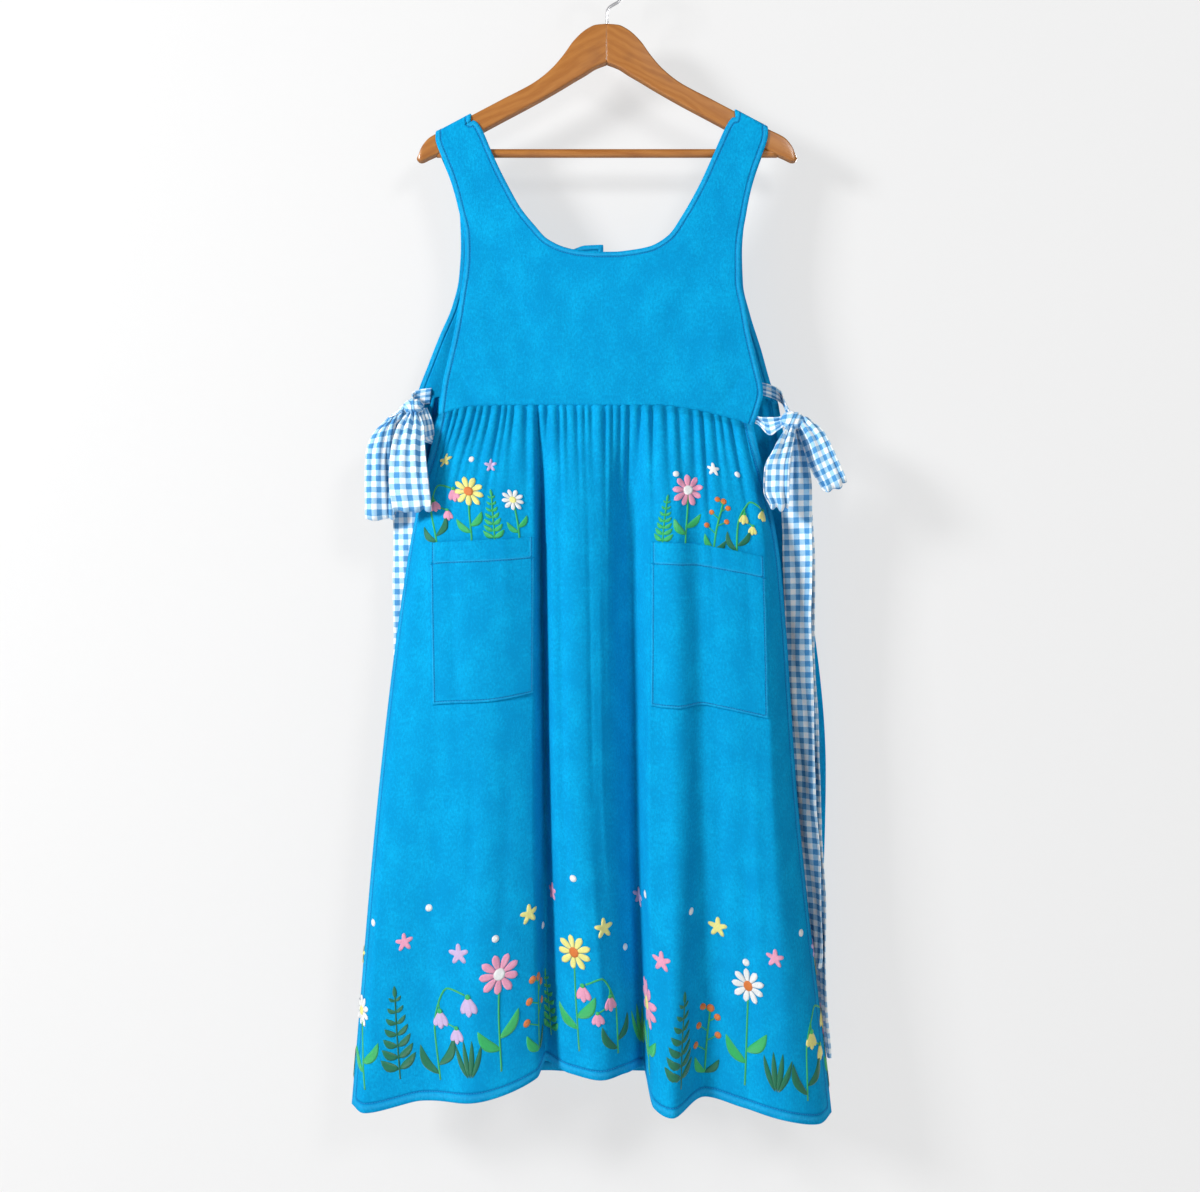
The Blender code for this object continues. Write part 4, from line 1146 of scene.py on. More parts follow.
# The back skirt is gathered in the same way onto both halves of the back bodice, and its folds
# are shallower because it hangs against the wall.
BACK_FOLDS = (
    (-0.2248, -0.249, 0.022, -0.256, 0.024, -0.273, 0.026, -1.297),
    (-0.2100, -0.234, 0.029, -0.240, 0.032, -0.250, 0.038, -1.300),
    (-0.1800, -0.195, 0.025, -0.200, 0.024, -0.205, 0.022, -1.296),
    (-0.1500, -0.160, 0.034, -0.162, 0.040, -0.165, 0.046, -1.303),
    (-0.1150, -0.120, 0.026, -0.118, 0.023, -0.115, 0.018, -1.296),
    (-0.0800, -0.082, 0.036, -0.078, 0.042, -0.072, 0.050, -1.305),
    (-0.0480, -0.046, 0.028, -0.040, 0.024, -0.028, 0.019, -1.297),
    (-0.0120, -0.008, 0.036, 0.000, 0.044, 0.012, 0.048, -1.304),
    (0.0260, 0.030, 0.025, 0.036, 0.022, 0.046, 0.018, -1.295),
    (0.0620, 0.068, 0.036, 0.076, 0.042, 0.088, 0.050, -1.305),
    (0.1000, 0.108, 0.027, 0.118, 0.023, 0.130, 0.021, -1.297),
    (0.1350, 0.148, 0.036, 0.160, 0.040, 0.174, 0.044, -1.303),
    (0.1680, 0.186, 0.028, 0.205, 0.028, 0.212, 0.028, -1.297),
    (0.1900, 0.214, 0.030, 0.240, 0.036, 0.234, 0.036, -1.299),
    (0.2019, 0.231, 0.025, 0.261, 0.030, 0.247, 0.028, -1.296),
)
BACK_SKIRT_CREASES = (
    (-0.196, 0.10, -0.198, 0.60, -1.2, 5),
    (-0.166, 0.06, -0.168, 0.34, 1.1, 5),
    (-0.134, 0.20, -0.136, 0.78, -1.4, 6),
    (-0.098, 0.08, -0.096, 0.40, 1.2, 5),
    (-0.064, 0.26, -0.062, 0.80, -1.4, 5),
    (-0.028, 0.06, -0.030, 0.36, 1.1, 5),
    (0.006, 0.20, 0.004, 0.74, -1.3, 5),
    (0.044, 0.06, 0.046, 0.44, 1.2, 5),
    (0.080, 0.30, 0.082, 0.80, -1.4, 5),
    (0.118, 0.08, 0.116, 0.46, 1.2, 5),
    (0.150, 0.24, 0.152, 0.78, -1.2, 5),
    (0.180, 0.10, 0.182, 0.50, 1.0, 5),
)
BACK_GATHER_COUNT = 32
first, last = BACK_FOLDS[0][0] + 0.006, BACK_FOLDS[-1][0] - 0.006
back_gathers = []
for k in range(BACK_GATHER_COUNT):
    across = first + (last - first) * k / (BACK_GATHER_COUNT - 1) + 0.0016 * math.sin(2.4 * k)
    back_gathers.append((across, 2.2 + 0.7 * math.sin(1.7 * k), 65 + 30 * math.sin(2.9 * k)))
skirt, _, back_skirt = build_skirt(
    "skirt_back", "back_skirt", BACK_FOLDS, back_gathers, BACK_WAIST, 1,
    BACK_SKIRT_CREASES, skirt_cloth,
)


# Two patch pockets of the same twill lie on the front skirt and follow its folds. Each has a
# deep hem at its mouth and is topstitched down both sides and along its foot.
POCKET_WALL = 0.0013
POCKET_TOP = 0.160
POCKET_FOOT = 0.345
POCKET_LAY = 0.0011
POCKET_HEM = 0.024
POCKET_STITCH = 0.0028
POCKET_COLUMNS = 70
POCKET_ROWS = 90
POCKET_GAPE = 0.0022
POCKET_GAPE_RUN = 0.030
POCKET_SAG = 0.0010
POCKET_HEM_RISE = 0.0005


def build_pocket(name, node, first, last):
    across = np.linspace(FRONT_FOLDS[first][0], FRONT_FOLDS[last][0], POCKET_COLUMNS)
    down = np.linspace(POCKET_TOP, POCKET_FOOT, POCKET_ROWS)
    grid = skirt_surface(
        FRONT_FOLDS, FRONT_GATHERS, FRONT_WAIST, -1, FRONT_SKIRT_CREASES, across, down
    )
    run, fall = cut_places(grid, down, POCKET_COLUMNS // 2)
    sides = np.minimum(run - run[:, :1], run[:, -1:] - run)
    foot = POCKET_FOOT - fall
    inside = (np.minimum(sides, foot) / POCKET_STITCH - 1).clip(-1, 1)
    below = ((fall - POCKET_TOP - POCKET_HEM) / POCKET_STITCH).clip(-1, 1)
    seam = 1 + inside * below
    whole = np.concatenate([grid, np.stack([run, fall, seam], -1)], axis=2)
    points, quads, cut = join_grids([whole])
    quads = outward(points, quads, -1)
    normals = facing_of(points, quads)
    sides = np.interp(cut[:, 0], [run.min(), 0, run.max()], [0, 1, 0])
    slack = np.sin(sides * math.pi / 2) ** 1.5
    gape = POCKET_GAPE * slack * np.exp(-((cut[:, 1] - POCKET_TOP) / POCKET_GAPE_RUN))
    fallen = (cut[:, 1] - POCKET_TOP) / (POCKET_FOOT - POCKET_TOP)
    sag = POCKET_SAG * slack * np.sin(fallen * math.pi)
    hem = POCKET_HEM_RISE * (cut[:, 1] - POCKET_TOP < POCKET_HEM)
    points = points + normals * (POCKET_LAY + POCKET_WALL / 2 + gape + sag + hem)[:, None]
    piece = cloth(name, points, quads, cut, POCKET_WALL, skirt_cloth)
    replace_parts(piece, node)
    return points, quads, cut


left_pocket = build_pocket("patch_pocket_left", "pocket_left", 2, 4)
right_pocket = build_pocket("patch_pocket_right", "pocket_right", 10, 14)


# The ties are strips of blue and white gingham, two at each side, sewn to the waist corners of
# the front and back and tied in a soft bow. Where a strip runs into a knot it is pleated.
TIE_WALL = 0.0012
CHECK = 0.0129
GINGHAM_WHITE = (0.860, 0.890, 0.905, 1.0)
GINGHAM_MID = (0.300, 0.560, 0.790, 1.0)
GINGHAM_BLUE = (0.055, 0.255, 0.550, 1.0)
# centre across, deep and high, width, turn about the upright, tilt in view
LEFT_TIES = {
    "tie_front_left": (
        (-0.1975, -0.0203, -0.5545, 0.012, 0, 15),
        (-0.2065, -0.0203, -0.5490, 0.014, 0, 18),
        (-0.2085, -0.0240, -0.5330, 0.013, 0, 12),
        (-0.2073, -0.0262, -0.5175, 0.010, 0, 8),
    ),
    "tie_back_left": (
        (-0.2080, 0.0080, -0.4960, 0.018, 0, 85),
        (-0.2190, 0.0080, -0.4975, 0.018, 0, 85),
        (-0.2290, 0.0040, -0.5010, 0.016, 60, 85),
        (-0.2275, -0.0060, -0.5060, 0.011, 90, 90),
        (-0.2245, -0.0140, -0.5110, 0.009, 90, 90),
    ),
    "loop_front_left": (
        (-0.2240, -0.0330, -0.5248, 0.012, 0, 0),
        (-0.2250, -0.0430, -0.5400, 0.030, 0, 0),
        (-0.2265, -0.0530, -0.5700, 0.039, 0, 0),
        (-0.2250, -0.0570, -0.6050, 0.044, 0, 0),
        (-0.2220, -0.0560, -0.6290, 0.043, 0, 3),
        (-0.2218, -0.0515, -0.6345, 0.042, 0, 3),
        (-0.2225, -0.0470, -0.6290, 0.042, 0, 3),
        (-0.2250, -0.0450, -0.6050, 0.042, 0, 0),
        (-0.2265, -0.0420, -0.5700, 0.037, 0, 0),
        (-0.2250, -0.0350, -0.5420, 0.026, 0, 0),
        (-0.2240, -0.0270, -0.5262, 0.011, 0, 0),
    ),
    "loop_rear_left": (
        (-0.2368, -0.0290, -0.5150, 0.012, 0, 60),
        (-0.2460, -0.0270, -0.5230, 0.018, 0, 40),
        (-0.2590, -0.0250, -0.5430, 0.027, 0, 15),
        (-0.2640, -0.0250, -0.5750, 0.031, 0, 0),
        (-0.2632, -0.0250, -0.6150, 0.033, 0, 0),
        (-0.2630, -0.0240, -0.6360, 0.033, 0, 0),
        (-0.2630, -0.0190, -0.6420, 0.033, 0, 0),
        (-0.2630, -0.0140, -0.6360, 0.033, 0, 0),
        (-0.2625, -0.0120, -0.6100, 0.032, 0, 0),
        (-0.2590, -0.0120, -0.5700, 0.030, 0, 8),
        (-0.2500, -0.0140, -0.5360, 0.022, 0, 30),
        (-0.2370, -0.0200, -0.5200, 0.011, 0, 55),
    ),
    "tail_left": (
        (-0.2240, -0.0205, -0.5250, 0.010, 0, 0),
        (-0.2310, -0.0095, -0.5600, 0.030, -10, 0),
        (-0.2350, -0.0070, -0.6200, 0.036, -20, 0),
        (-0.2345, -0.0030, -0.7000, 0.036, -24, 0),
        (-0.2340, -0.0010, -0.8200, 0.036, -20, 0),
        (-0.2350, 0.0000, -0.9500, 0.036, -14, 0),
        (-0.2385, 0.0000, -1.0800, 0.036, -8, 4),
        (-0.2400, 0.0000, -1.1300, 0.036, -8, 14),
    ),
    "tail_under_left": (
        (-0.2240, -0.0150, -0.5250, 0.010, 0, 0),
        (-0.2270, -0.0040, -0.5600, 0.028, -10, 0),
        (-0.2290, -0.0005, -0.6200, 0.036, -20, 0),
        (-0.2280, 0.0035, -0.7000, 0.036, -24, 0),
        (-0.2270, 0.0055, -0.8200, 0.036, -20, 0),
        (-0.2280, 0.0060, -0.9500, 0.036, -14, 4),
        (-0.2280, 0.0060, -1.0100, 0.036, -14, 16),
    ),
}
RIGHT_TIES = {
    "tie_front_right": (
        (0.1600, -0.0223, -0.5240, 0.009, 0, -75),
        (0.1735, -0.0222, -0.5285, 0.010, 0, -75),
        (0.1860, -0.0280, -0.5365, 0.021, 0, -75),
        (0.1955, -0.0310, -0.5340, 0.015, 0, -80),
        (0.1985, -0.0310, -0.5320, 0.012, 0, -80),
    ),
    "tie_back_right": (
        (0.1820, 0.0080, -0.4880, 0.014, 0, 90),
        (0.1905, 0.0080, -0.4900, 0.014, 0, 90),
        (0.2045, 0.0040, -0.4980, 0.014, -55, 90),
        (0.2090, -0.0070, -0.5110, 0.011, -90, 90),
        (0.2110, -0.0170, -0.5200, 0.009, -90, 90),
    ),
    "loop_inner_right": (
        (0.2090, -0.0400, -0.5410, 0.012, 0, 20),
        (0.2020, -0.0480, -0.5590, 0.022, 0, 14),
        (0.1940, -0.0530, -0.5880, 0.026, 0, 0),
        (0.1932, -0.0550, -0.6120, 0.026, 0, 0),
        (0.1960, -0.0540, -0.6270, 0.020, 0, 0),
        (0.1965, -0.0490, -0.6315, 0.019, 0, 0),
        (0.1955, -0.0440, -0.6270, 0.020, 0, 0),
        (0.1915, -0.0425, -0.6120, 0.025, 0, 0),
        (0.1925, -0.0420, -0.5880, 0.025, 0, 0),
        (0.2010, -0.0400, -0.5610, 0.020, 0, 14),
        (0.2080, -0.0350, -0.5430, 0.011, 0, 20),
    ),
    "loop_outer_right": (
        (0.2300, -0.0360, -0.5280, 0.012, 0, 30),
        (0.2385, -0.0440, -0.5490, 0.021, 0, 28),
        (0.2490, -0.0490, -0.5760, 0.024, 0, 28),
        (0.2600, -0.0490, -0.6010, 0.024, 0, 30),
        (0.2625, -0.0440, -0.6070, 0.024, 0, 30),
        (0.2590, -0.0380, -0.6040, 0.025, 0, 30),
        (0.2450, -0.0320, -0.5800, 0.025, 0, 28),
        (0.2350, -0.0300, -0.5560, 0.020, 0, 28),
        (0.2280, -0.0290, -0.5365, 0.011, 0, 30),
    ),
    "tail_right": (
        (0.2170, -0.0250, -0.5395, 0.010, 0, 0),
        (0.2190, -0.0235, -0.5750, 0.027, -5, 0),
        (0.2195, -0.0200, -0.6220, 0.036, -20, 0),
        (0.2225, -0.0110, -0.7000, 0.036, -34, 0),
        (0.2236, -0.0070, -0.7935, 0.036, -39, 0),
        (0.2265, -0.0060, -0.8700, 0.036, -41, 0),
        (0.2291, -0.0055, -0.9215, 0.036, -49, 0),
        (0.2340, -0.0050, -1.0200, 0.036, -51, 0),
        (0.2395, -0.0050, -1.1050, 0.036, -57, 0),
        (0.2420, -0.0050, -1.1500, 0.034, -60, 8),
        (0.2430, -0.0050, -1.1700, 0.026, -62, 20),
    ),
    "tail_under_right": (
        (0.2150, -0.0215, -0.5375, 0.009, 0, 0),
        (0.2190, -0.0170, -0.5750, 0.024, -5, 0),
        (0.2210, -0.0120, -0.6220, 0.034, -20, 0),
        (0.2270, -0.0020, -0.7000, 0.036, -34, 0),
        (0.2285, 0.0020, -0.7935, 0.036, -39, 0),
        (0.2320, 0.0030, -0.8700, 0.036, -41, 0),
        (0.2355, 0.0030, -0.9215, 0.036, -49, 0),
        (0.2400, 0.0020, -1.0200, 0.036, -51, 0),
        (0.2450, 0.0010, -1.1049, 0.036, -60, 0),
        (0.2500, 0.0000, -1.1900, 0.034, -70, 0),
        (0.2555, 0.0000, -1.2350, 0.022, -72, 0),
        (0.2610, 0.0000, -1.2740, 0.005, -72, 0),
    ),
}
# centre, then half sizes
KNOTS = {
    "knot_left": ((-0.2235, -0.0260, -0.5135), (0.0115, 0.0110, 0.0090)),
    "knot_right": ((0.2135, -0.0300, -0.5300), (0.0135, 0.0110, 0.0105)),
}
STRIP_WIDTH = 0.038
RIBBON_STEPS = 9
RIBBON_COLUMNS = 30
KNOT_BITE = 0.93
MOST_PLEAT = 0.0024


def gingham(name):
    """Gingham: white squares, blue squares, and squares of one thread each way between them."""
    made = Finish(name, Roughness=0.84, Sheen_Weight=0.08, Sheen_Roughness=0.5)
    made.surface.inputs["Specular IOR Level"].default_value = 0.25
    across, down, seam = made.place("cut")
    stray = made.noise(made.vector(across * 240, down * 240), 1.0, 2.0) * 0.0006
    warp = (((across + stray) / CHECK + 100.25).remainder()) < 0.5
    weft = (((down + stray) / CHECK + 100).remainder()) < 0.5
    hatch = ((across * 7400).sine() * (down * 7400).sine()) * 0.10
    slub = made.noise(made.vector(across * 1500, down * 240), 1.0, 2.0)
    slub = slub + made.noise(made.vector(across * 240, down * 1500), 1.0, 2.0)
    blue = (warp * 0.5 + weft * 0.5 + hatch * (warp - weft).size() + slub * 0.16 - 0.17).held()
    pale = made.blend((blue * 2).held(), GINGHAM_WHITE, GINGHAM_MID)
    made.colour(made.blend((blue * 2 - 1).held(), pale, GINGHAM_BLUE))
    groove = (1 - (seam - 1).size() * 3).held()
    made.relief(slub * 0.7 - groove * 0.8, 0.00035)
    return made


gingham_cloth = gingham("gingham_check")


def flat_way(turn, tilt):
    """The direction of a ribbon's width, for each row."""
    turn, tilt = np.radians(turn), np.radians(tilt)
    return np.stack([np.cos(turn) * np.cos(tilt), np.sin(turn) * np.cos(tilt), np.sin(tilt)], -1)


def on_knot(row, centre, radii):
    """The row of a strip's end, moved straight in until it lies under the knot's cloth."""
    away = np.array(row[:3]) - centre
    away /= np.linalg.norm(away)
    reach = 1 / np.linalg.norm(away / np.array(radii))
    return (*(np.array(centre) + away * reach * KNOT_BITE), *row[3:])


def ribbon_grid(name, rows):
    """Points and cut places of a strip. Where it is drawn in below its own width, the cloth to
    spare stands in pleats."""
    numbered = tuple((k, *row) for k, row in enumerate(rows))
    steps = (len(rows) - 1) * RIBBON_STEPS + 1
    drawn = read(numbered, np.linspace(0, len(rows) - 1, steps))
    middle, width = drawn[:, :3], drawn[:, 3]
    side = flat_way(drawn[:, 4], drawn[:, 5])
    ahead = np.gradient(middle, axis=0)
    ahead /= np.linalg.norm(ahead, axis=1)[:, None]
    out = np.cross(ahead, side)
    out /= np.maximum(np.linalg.norm(out, axis=1), 1e-9)[:, None]
    run = np.concatenate([[0], np.linalg.norm(np.diff(middle, axis=0), axis=1).cumsum()])
    full = max(row[3] for row in rows)
    spare = np.sqrt(np.maximum(full / width - 1, 0))
    share = np.linspace(-0.5, 0.5, RIBBON_COLUMNS)
    pleats = 3 if full > 0.03 else 2
    phase = (len(name) * 1.7) % 6
    depth = np.minimum(width / (pleats * math.pi) * spare, MOST_PLEAT)[:, None]
    fold = depth * np.cos(2 * math.pi * pleats * share + phase + 1.2 * run[:, None] / 0.06)
    drift = 0.0011 * np.sin(share * 5 + run[:, None] / 0.031 + phase)
    drift += 0.0007 * np.sin(share * 11 - run[:, None] / 0.017 + 2 * phase)
    full_part = np.clip(width / full, 0, 1)[:, None]
    bulge = ribbon_bulge(name, share, run / run[-1]) * full_part
    height = fold + drift * full_part + bulge
    ruffle = 1 + 0.012 * np.sin(run / 0.017 + phase) + 0.006 * np.sin(run / 0.0071)
    place = middle[:, None] + side[:, None] * (share * width[:, None] * ruffle[:, None])[..., None]
    place = place + out[:, None] * height[..., None]
    across = np.broadcast_to(share * max(full, STRIP_WIDTH * 0.98), fold.shape)
    down = np.broadcast_to(run[:, None], fold.shape)
    seam = np.minimum((0.5 - np.abs(share)) * full / 0.0016, 4.0) + 0 * fold
    return np.concatenate([place, np.stack([across, down, seam], -1)], axis=2), run[-1], full


def ribbon_bulge(name, share, along):
    """A loop bows out across its width, and has one long crease beside its edge."""
    if not name.startswith("loop"):
        return np.zeros((len(along), len(share)))
    bow = 0.0026 * (1 - (2 * share) ** 2)
    crease = -0.0022 * np.exp(-(((share - 0.30) / 0.045) ** 2))
    return (bow + crease)[None, :] * np.sin(math.pi * along)[:, None] ** 0.5


for ties, tied in ((LEFT_TIES, "knot_left"), (RIGHT_TIES, "knot_right")):
    for name, rows in ties.items():
        starts = () if name.startswith("tie") else (on_knot(rows[0], *KNOTS[tied]),)
        ends = () if name.startswith("tail") else (on_knot(rows[-1], *KNOTS[tied]),)
        rows = starts + rows[len(starts) : len(rows) - len(ends)] + ends
        grid, length, full = ribbon_grid(name, rows)
        points, quads, cut = join_grids([grid])
        piece = cloth("gingham_" + name, points, quads, cut, TIE_WALL, gingham_cloth)
        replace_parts(piece, name)


# A knot is the strip wrapped once over the loops and pulled tight, in a few soft folds that
# run round it.
KNOT_RINGS = 40
KNOT_SIDES = 64
# place along the knot, depth and half width
KNOT_FOLDS = ((-0.55, 0.10, 0.13), (-0.12, 0.12, 0.12), (0.30, 0.11, 0.14), (0.70, 0.08, 0.10))


def build_knot(name, centre, radii, slant):
    points = []
    marks = []
    for ring in range(1, KNOT_RINGS):
        across = math.cos(math.pi * ring / KNOT_RINGS)
        girth = math.sin(math.pi * ring / KNOT_RINGS) ** 0.8
        for k in range(KNOT_SIDES):
            angle = 2 * math.pi * k / KNOT_SIDES
            skew = across + slant * math.sin(angle) + 0.10 * math.sin(2 * angle + 4 * across)
            dip = sum(depth * math.exp(-(((skew - at) / wide) ** 2)) for at, depth, wide in KNOT_FOLDS)
            size = girth * (1.06 - dip * 1.15)
            y = size * math.cos(angle) * radii[1]
            z = size * math.sin(angle) * radii[2]
            x = across * radii[0] * (1 + 0.05 * math.sin(3 * angle))
            points.append((centre[0] + x, centre[1] + y, centre[2] + z))
            marks.append((skew * 0.015, angle * 0.0105, 4.0))
    faces = tube_faces(KNOT_RINGS - 1, KNOT_SIDES)
    piece = make_piece("gingham_" + name, points, faces, [gingham_cloth], {"cut": marks})
    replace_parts(piece, name)


build_knot("knot_left", *KNOTS["knot_left"], 0.25)
build_knot("knot_right", *KNOTS["knot_right"], -0.30)


# The embroidery is rayon satin stitch in pinks, lemon, orange, white and greens: daisies,
# bellflowers, berry sprigs and ferns of a plain kind, in a row above the hem and in a posy
# above each pocket, with small stars and dots over them.
EMBROIDERY_COLOURS = {
    "pink": (0.850, 0.350, 0.520, 1.0),
    "rose": (0.780, 0.200, 0.380, 1.0),
    "lemon": (0.870, 0.830, 0.260, 1.0),
    "orange": (0.720, 0.190, 0.030, 1.0),
    "white": (0.860, 0.880, 0.880, 1.0),
    "lilac": (0.640, 0.480, 0.760, 1.0),
    "green": (0.030, 0.480, 0.130, 1.0),
    "dark_green": (0.004, 0.170, 0.080, 1.0),
}
COLOUR_ORDER = list(EMBROIDERY_COLOURS)
THREAD_PITCH = 0.00075
PILE = 0.0009


def satin(name, colour):
    """Satin stitch: shining threads side by side, each a little lighter or darker."""
    made = Finish(name, Roughness=0.42, Sheen_Weight=0.2, Sheen_Roughness=0.3)
    side, ahead, _ = made.place("thread")
    strand = (side * (2 * math.pi / THREAD_PITCH)).sine() * 0.5 + 0.5
    uneven = made.noise(made.vector(side * 1300, ahead * 160), 1.0, 2.0)
    deep = tuple(part * 0.62 for part in colour[:3]) + (1.0,)
    made.colour(made.blend((strand * 0.45 + uneven * 0.9).held(), deep, colour))
    made.rough(0.36 + uneven * 0.22)
    made.relief(strand + uneven * 0.6, 0.00022)
    return made


satins = [satin("satin_" + name, colour) for name, colour in EMBROIDERY_COLOURS.items()]


class Sewing:
    """Patches of thread, drawn flat in metres from a foot and then laid on the skirt."""

    def __init__(self):
        self.flat = []
        self.lift = []
        self.marks = []
        self.faces = []
        self.slots = []

    def patch(self, grid, colour, slant, pile=PILE, base=0.0):
        """A raised patch over a grid of flat places, rounded down to the cloth at its rim."""
        rows, columns = grid.shape[:2]
        up = np.sin(np.linspace(0, 1, rows) * math.pi)[:, None]
        over = np.sin(np.linspace(0, 1, columns) * math.pi)[None, :]
        dome = (np.clip(up * 3.5, 0, 1) * np.clip(over * 2.5, 0, 1)) ** 0.6
        first = len(self.flat)
        ways = np.array([[math.cos(slant), math.sin(slant)], [-math.sin(slant), math.cos(slant)]])
        for height in (base + 0.00012 + pile * dome, base + 0.00004 + 0 * dome):
            self.flat += grid.reshape(-1, 2).tolist()
            self.lift += height.ravel().tolist()
            self.marks += (grid.reshape(-1, 2) @ ways).tolist()
        number = first + np.arange(rows * columns).reshape(rows, columns)
        corners = (number[:-1, :-1], number[1:, :-1], number[1:, 1:], number[:-1, 1:])
        top = np.stack(corners, -1).reshape(-1, 4)
        faces = top.tolist() + (top[:, ::-1] + rows * columns).tolist()
        loop = list(number[0]) + list(number[1:, -1]) + list(number[-1, -2::-1]) + list(number[-2:0:-1, 0])
        below = rows * columns
        for start, end in zip(loop, loop[1:] + loop[:1]):
            faces.append((int(start), int(end), int(end) + below, int(start) + below))
        self.faces += faces
        self.slots += [COLOUR_ORDER.index(colour)] * len(faces)

    def leaf(self, foot, tip, width, colour, bend=0.0, rows=11, columns=7):
        """A pointed oval from foot to tip, bent to one side by a share of its length."""
        foot, tip = np.array(foot, float), np.array(tip, float)
        ahead = tip - foot
        aside = np.array([-ahead[1], ahead[0]])
        t = np.linspace(0, 1, rows)
        spine = foot + ahead * t[:, None] + aside * (bend * np.sin(t * math.pi))[:, None]
        half = width / 2 * np.sin(math.pi * t**0.85) ** 0.8 + 0.00015
        over = np.linspace(-1, 1, columns)
        grid = spine[:, None] + (aside / np.linalg.norm(ahead)) * (half[:, None] * over)[..., None]
        slant = math.atan2(ahead[1], ahead[0]) + 0.6
        self.patch(grid, colour, slant)

    def petal(self, centre, angle, length, width, colour, start=0.0, base=0.0, rows=9):
        """A blunt petal that widens away from the middle of its flower."""
        way = np.array([math.cos(angle), math.sin(angle)])
        aside = np.array([-way[1], way[0]])
        t = np.linspace(0, 1, rows)
        half = width / 2 * (0.30 + 0.70 * np.sin(t * 1.9)) * np.sqrt(np.maximum(1 - t**4, 0.0009))
        over = np.linspace(-1, 1, 7)
        spine = np.array(centre) + way * (start + (length - start) * t)[:, None]
        grid = spine[:, None] + aside * (half[:, None] * over)[..., None]
        self.patch(grid, colour, angle, PILE, base)

    def disc(self, centre, radius, colour, outline=lambda angle: 1.0, base=0.0, steps=9):
        """A round patch, or one whose outline swells with the angle."""
        over = np.linspace(-1, 1, steps)
        grid = np.empty((steps, steps, 2))
        for i, v in enumerate(over):
            for j, u in enumerate(over):
                angle = math.atan2(v, u)
                reach = max(abs(u), abs(v)) * radius * outline(angle)
                grid[i, j] = (centre[0] + reach * math.cos(angle), centre[1] + reach * math.sin(angle))
        self.patch(grid, colour, 0.5, PILE * 1.1, base)

    def stem(self, line, colour="green", width=0.0022):
        """A narrow line of stitches through places from its foot up."""
        numbered = tuple((k, *place) for k, place in enumerate(line))
        spine = read(numbered, np.linspace(0, len(line) - 1, 6 * len(line)))
        ahead = np.gradient(spine, axis=0)
        ahead /= np.linalg.norm(ahead, axis=1)[:, None]
        aside = np.stack([-ahead[:, 1], ahead[:, 0]], -1)
        over = np.linspace(-0.5, 0.5, 5) * width
        grid = spine[:, None] + aside[:, None] * over[None, :, None]
        self.patch(grid, colour, math.pi / 2 + 0.5, PILE * 0.8)

    def daisy(self, foot, height, size, petals, heart, lean=0.0, count=9, leaves="green"):
        head = np.array([foot[0] + lean, foot[1] + height])
        bow = (foot[0] + lean * 0.2, foot[1] + height * 0.5)
        self.stem([foot, bow, tuple(head)])
        for side, rise in ((-1, 0.22), (1, 0.34)):
            start = (foot[0] + lean * rise * 0.5, foot[1] + height * rise)
            reach = min(height * 0.34, 0.034)
            tip = (start[0] + side * reach * 0.72, start[1] + reach * 0.80)
            self.leaf(start, tip, reach * 0.36, leaves, side * -0.12)
        for k in range(count):
            angle = 2 * math.pi * k / count + 0.35
            length = size * (1 + 0.05 * math.sin(3 * k))
            width = size * 0.62 * 6.2 / count
            self.petal(head, angle, length, width, petals, size * 0.20, 0.0003)
        self.disc(head, size * 0.30, heart, base=0.0010)

    def bellflower(self, foot, height, colour, side=1):
        top = (foot[0] + side * height * 0.16, foot[1] + height)
        bend = (foot[0] + side * height * 0.36, foot[1] + height * 0.93)
        self.stem([foot, (foot[0] - side * 0.002, foot[1] + height * 0.55), top, bend])
        for share, out, size in ((1.00, 0.40, 1.0), (0.84, 0.06, 0.9), (0.66, 0.24, 0.8)):
            crown = (foot[0] + side * height * out, foot[1] + height * (share - 0.09))
            bell = height * 0.15 * size
            if share < 1:
                root = (foot[0] + side * height * 0.06 * share, foot[1] + height * share)
                self.stem([root, crown], width=0.0016)
            for lobe in (-1, 0, 1):
                angle = -math.pi / 2 + lobe * 0.42
                length = bell * (1.45 - 0.12 * abs(lobe))
                base = 0.0002 + 0.0003 * (lobe == 0)
                self.petal(crown, angle, length, bell * 0.62, colour, 0, base)
            self.disc(crown, bell * 0.22, "green", base=0.0008, steps=6)
        for way, rise in ((-1, 0.06), (1, 0.16)):
            start = (foot[0], foot[1] + height * rise)
            tip = (start[0] + way * height * 0.20, start[1] + height * 0.33)
            self.leaf(start, tip, height * 0.10, "dark_green", way * -0.15)

    def sprig(self, foot, height, colour, lean=0.0):
        """Round berries on short stalks at both sides of an upright stem."""
        tip = (foot[0] + lean, foot[1] + height)
        self.stem([foot, (foot[0] + lean * 0.3, foot[1] + height * 0.5), tip])
        for k in range(5):
            share = 0.34 + 0.15 * k
            side = 1 if k % 2 else -1
            root = (foot[0] + lean * share * share, foot[1] + height * share)
            reach = height * (0.24 - 0.025 * k)
            berry = (root[0] + side * reach * 0.8, root[1] + reach * 0.55)
            self.stem([root, berry], width=0.0014)
            self.disc(berry, height * 0.052, colour, base=0.0002, steps=7)
        self.disc(tip, height * 0.060, colour, base=0.0002, steps=7)
        leaves = ((-0.20, 0.30, 0.11, "green", 0.12), (0.22, 0.24, 0.10, "dark_green", -0.12))
        for out, rise, width, green, bend in leaves:
            end = (foot[0] + height * out, foot[1] + height * rise)
            self.leaf(foot, end, height * width, green, bend)

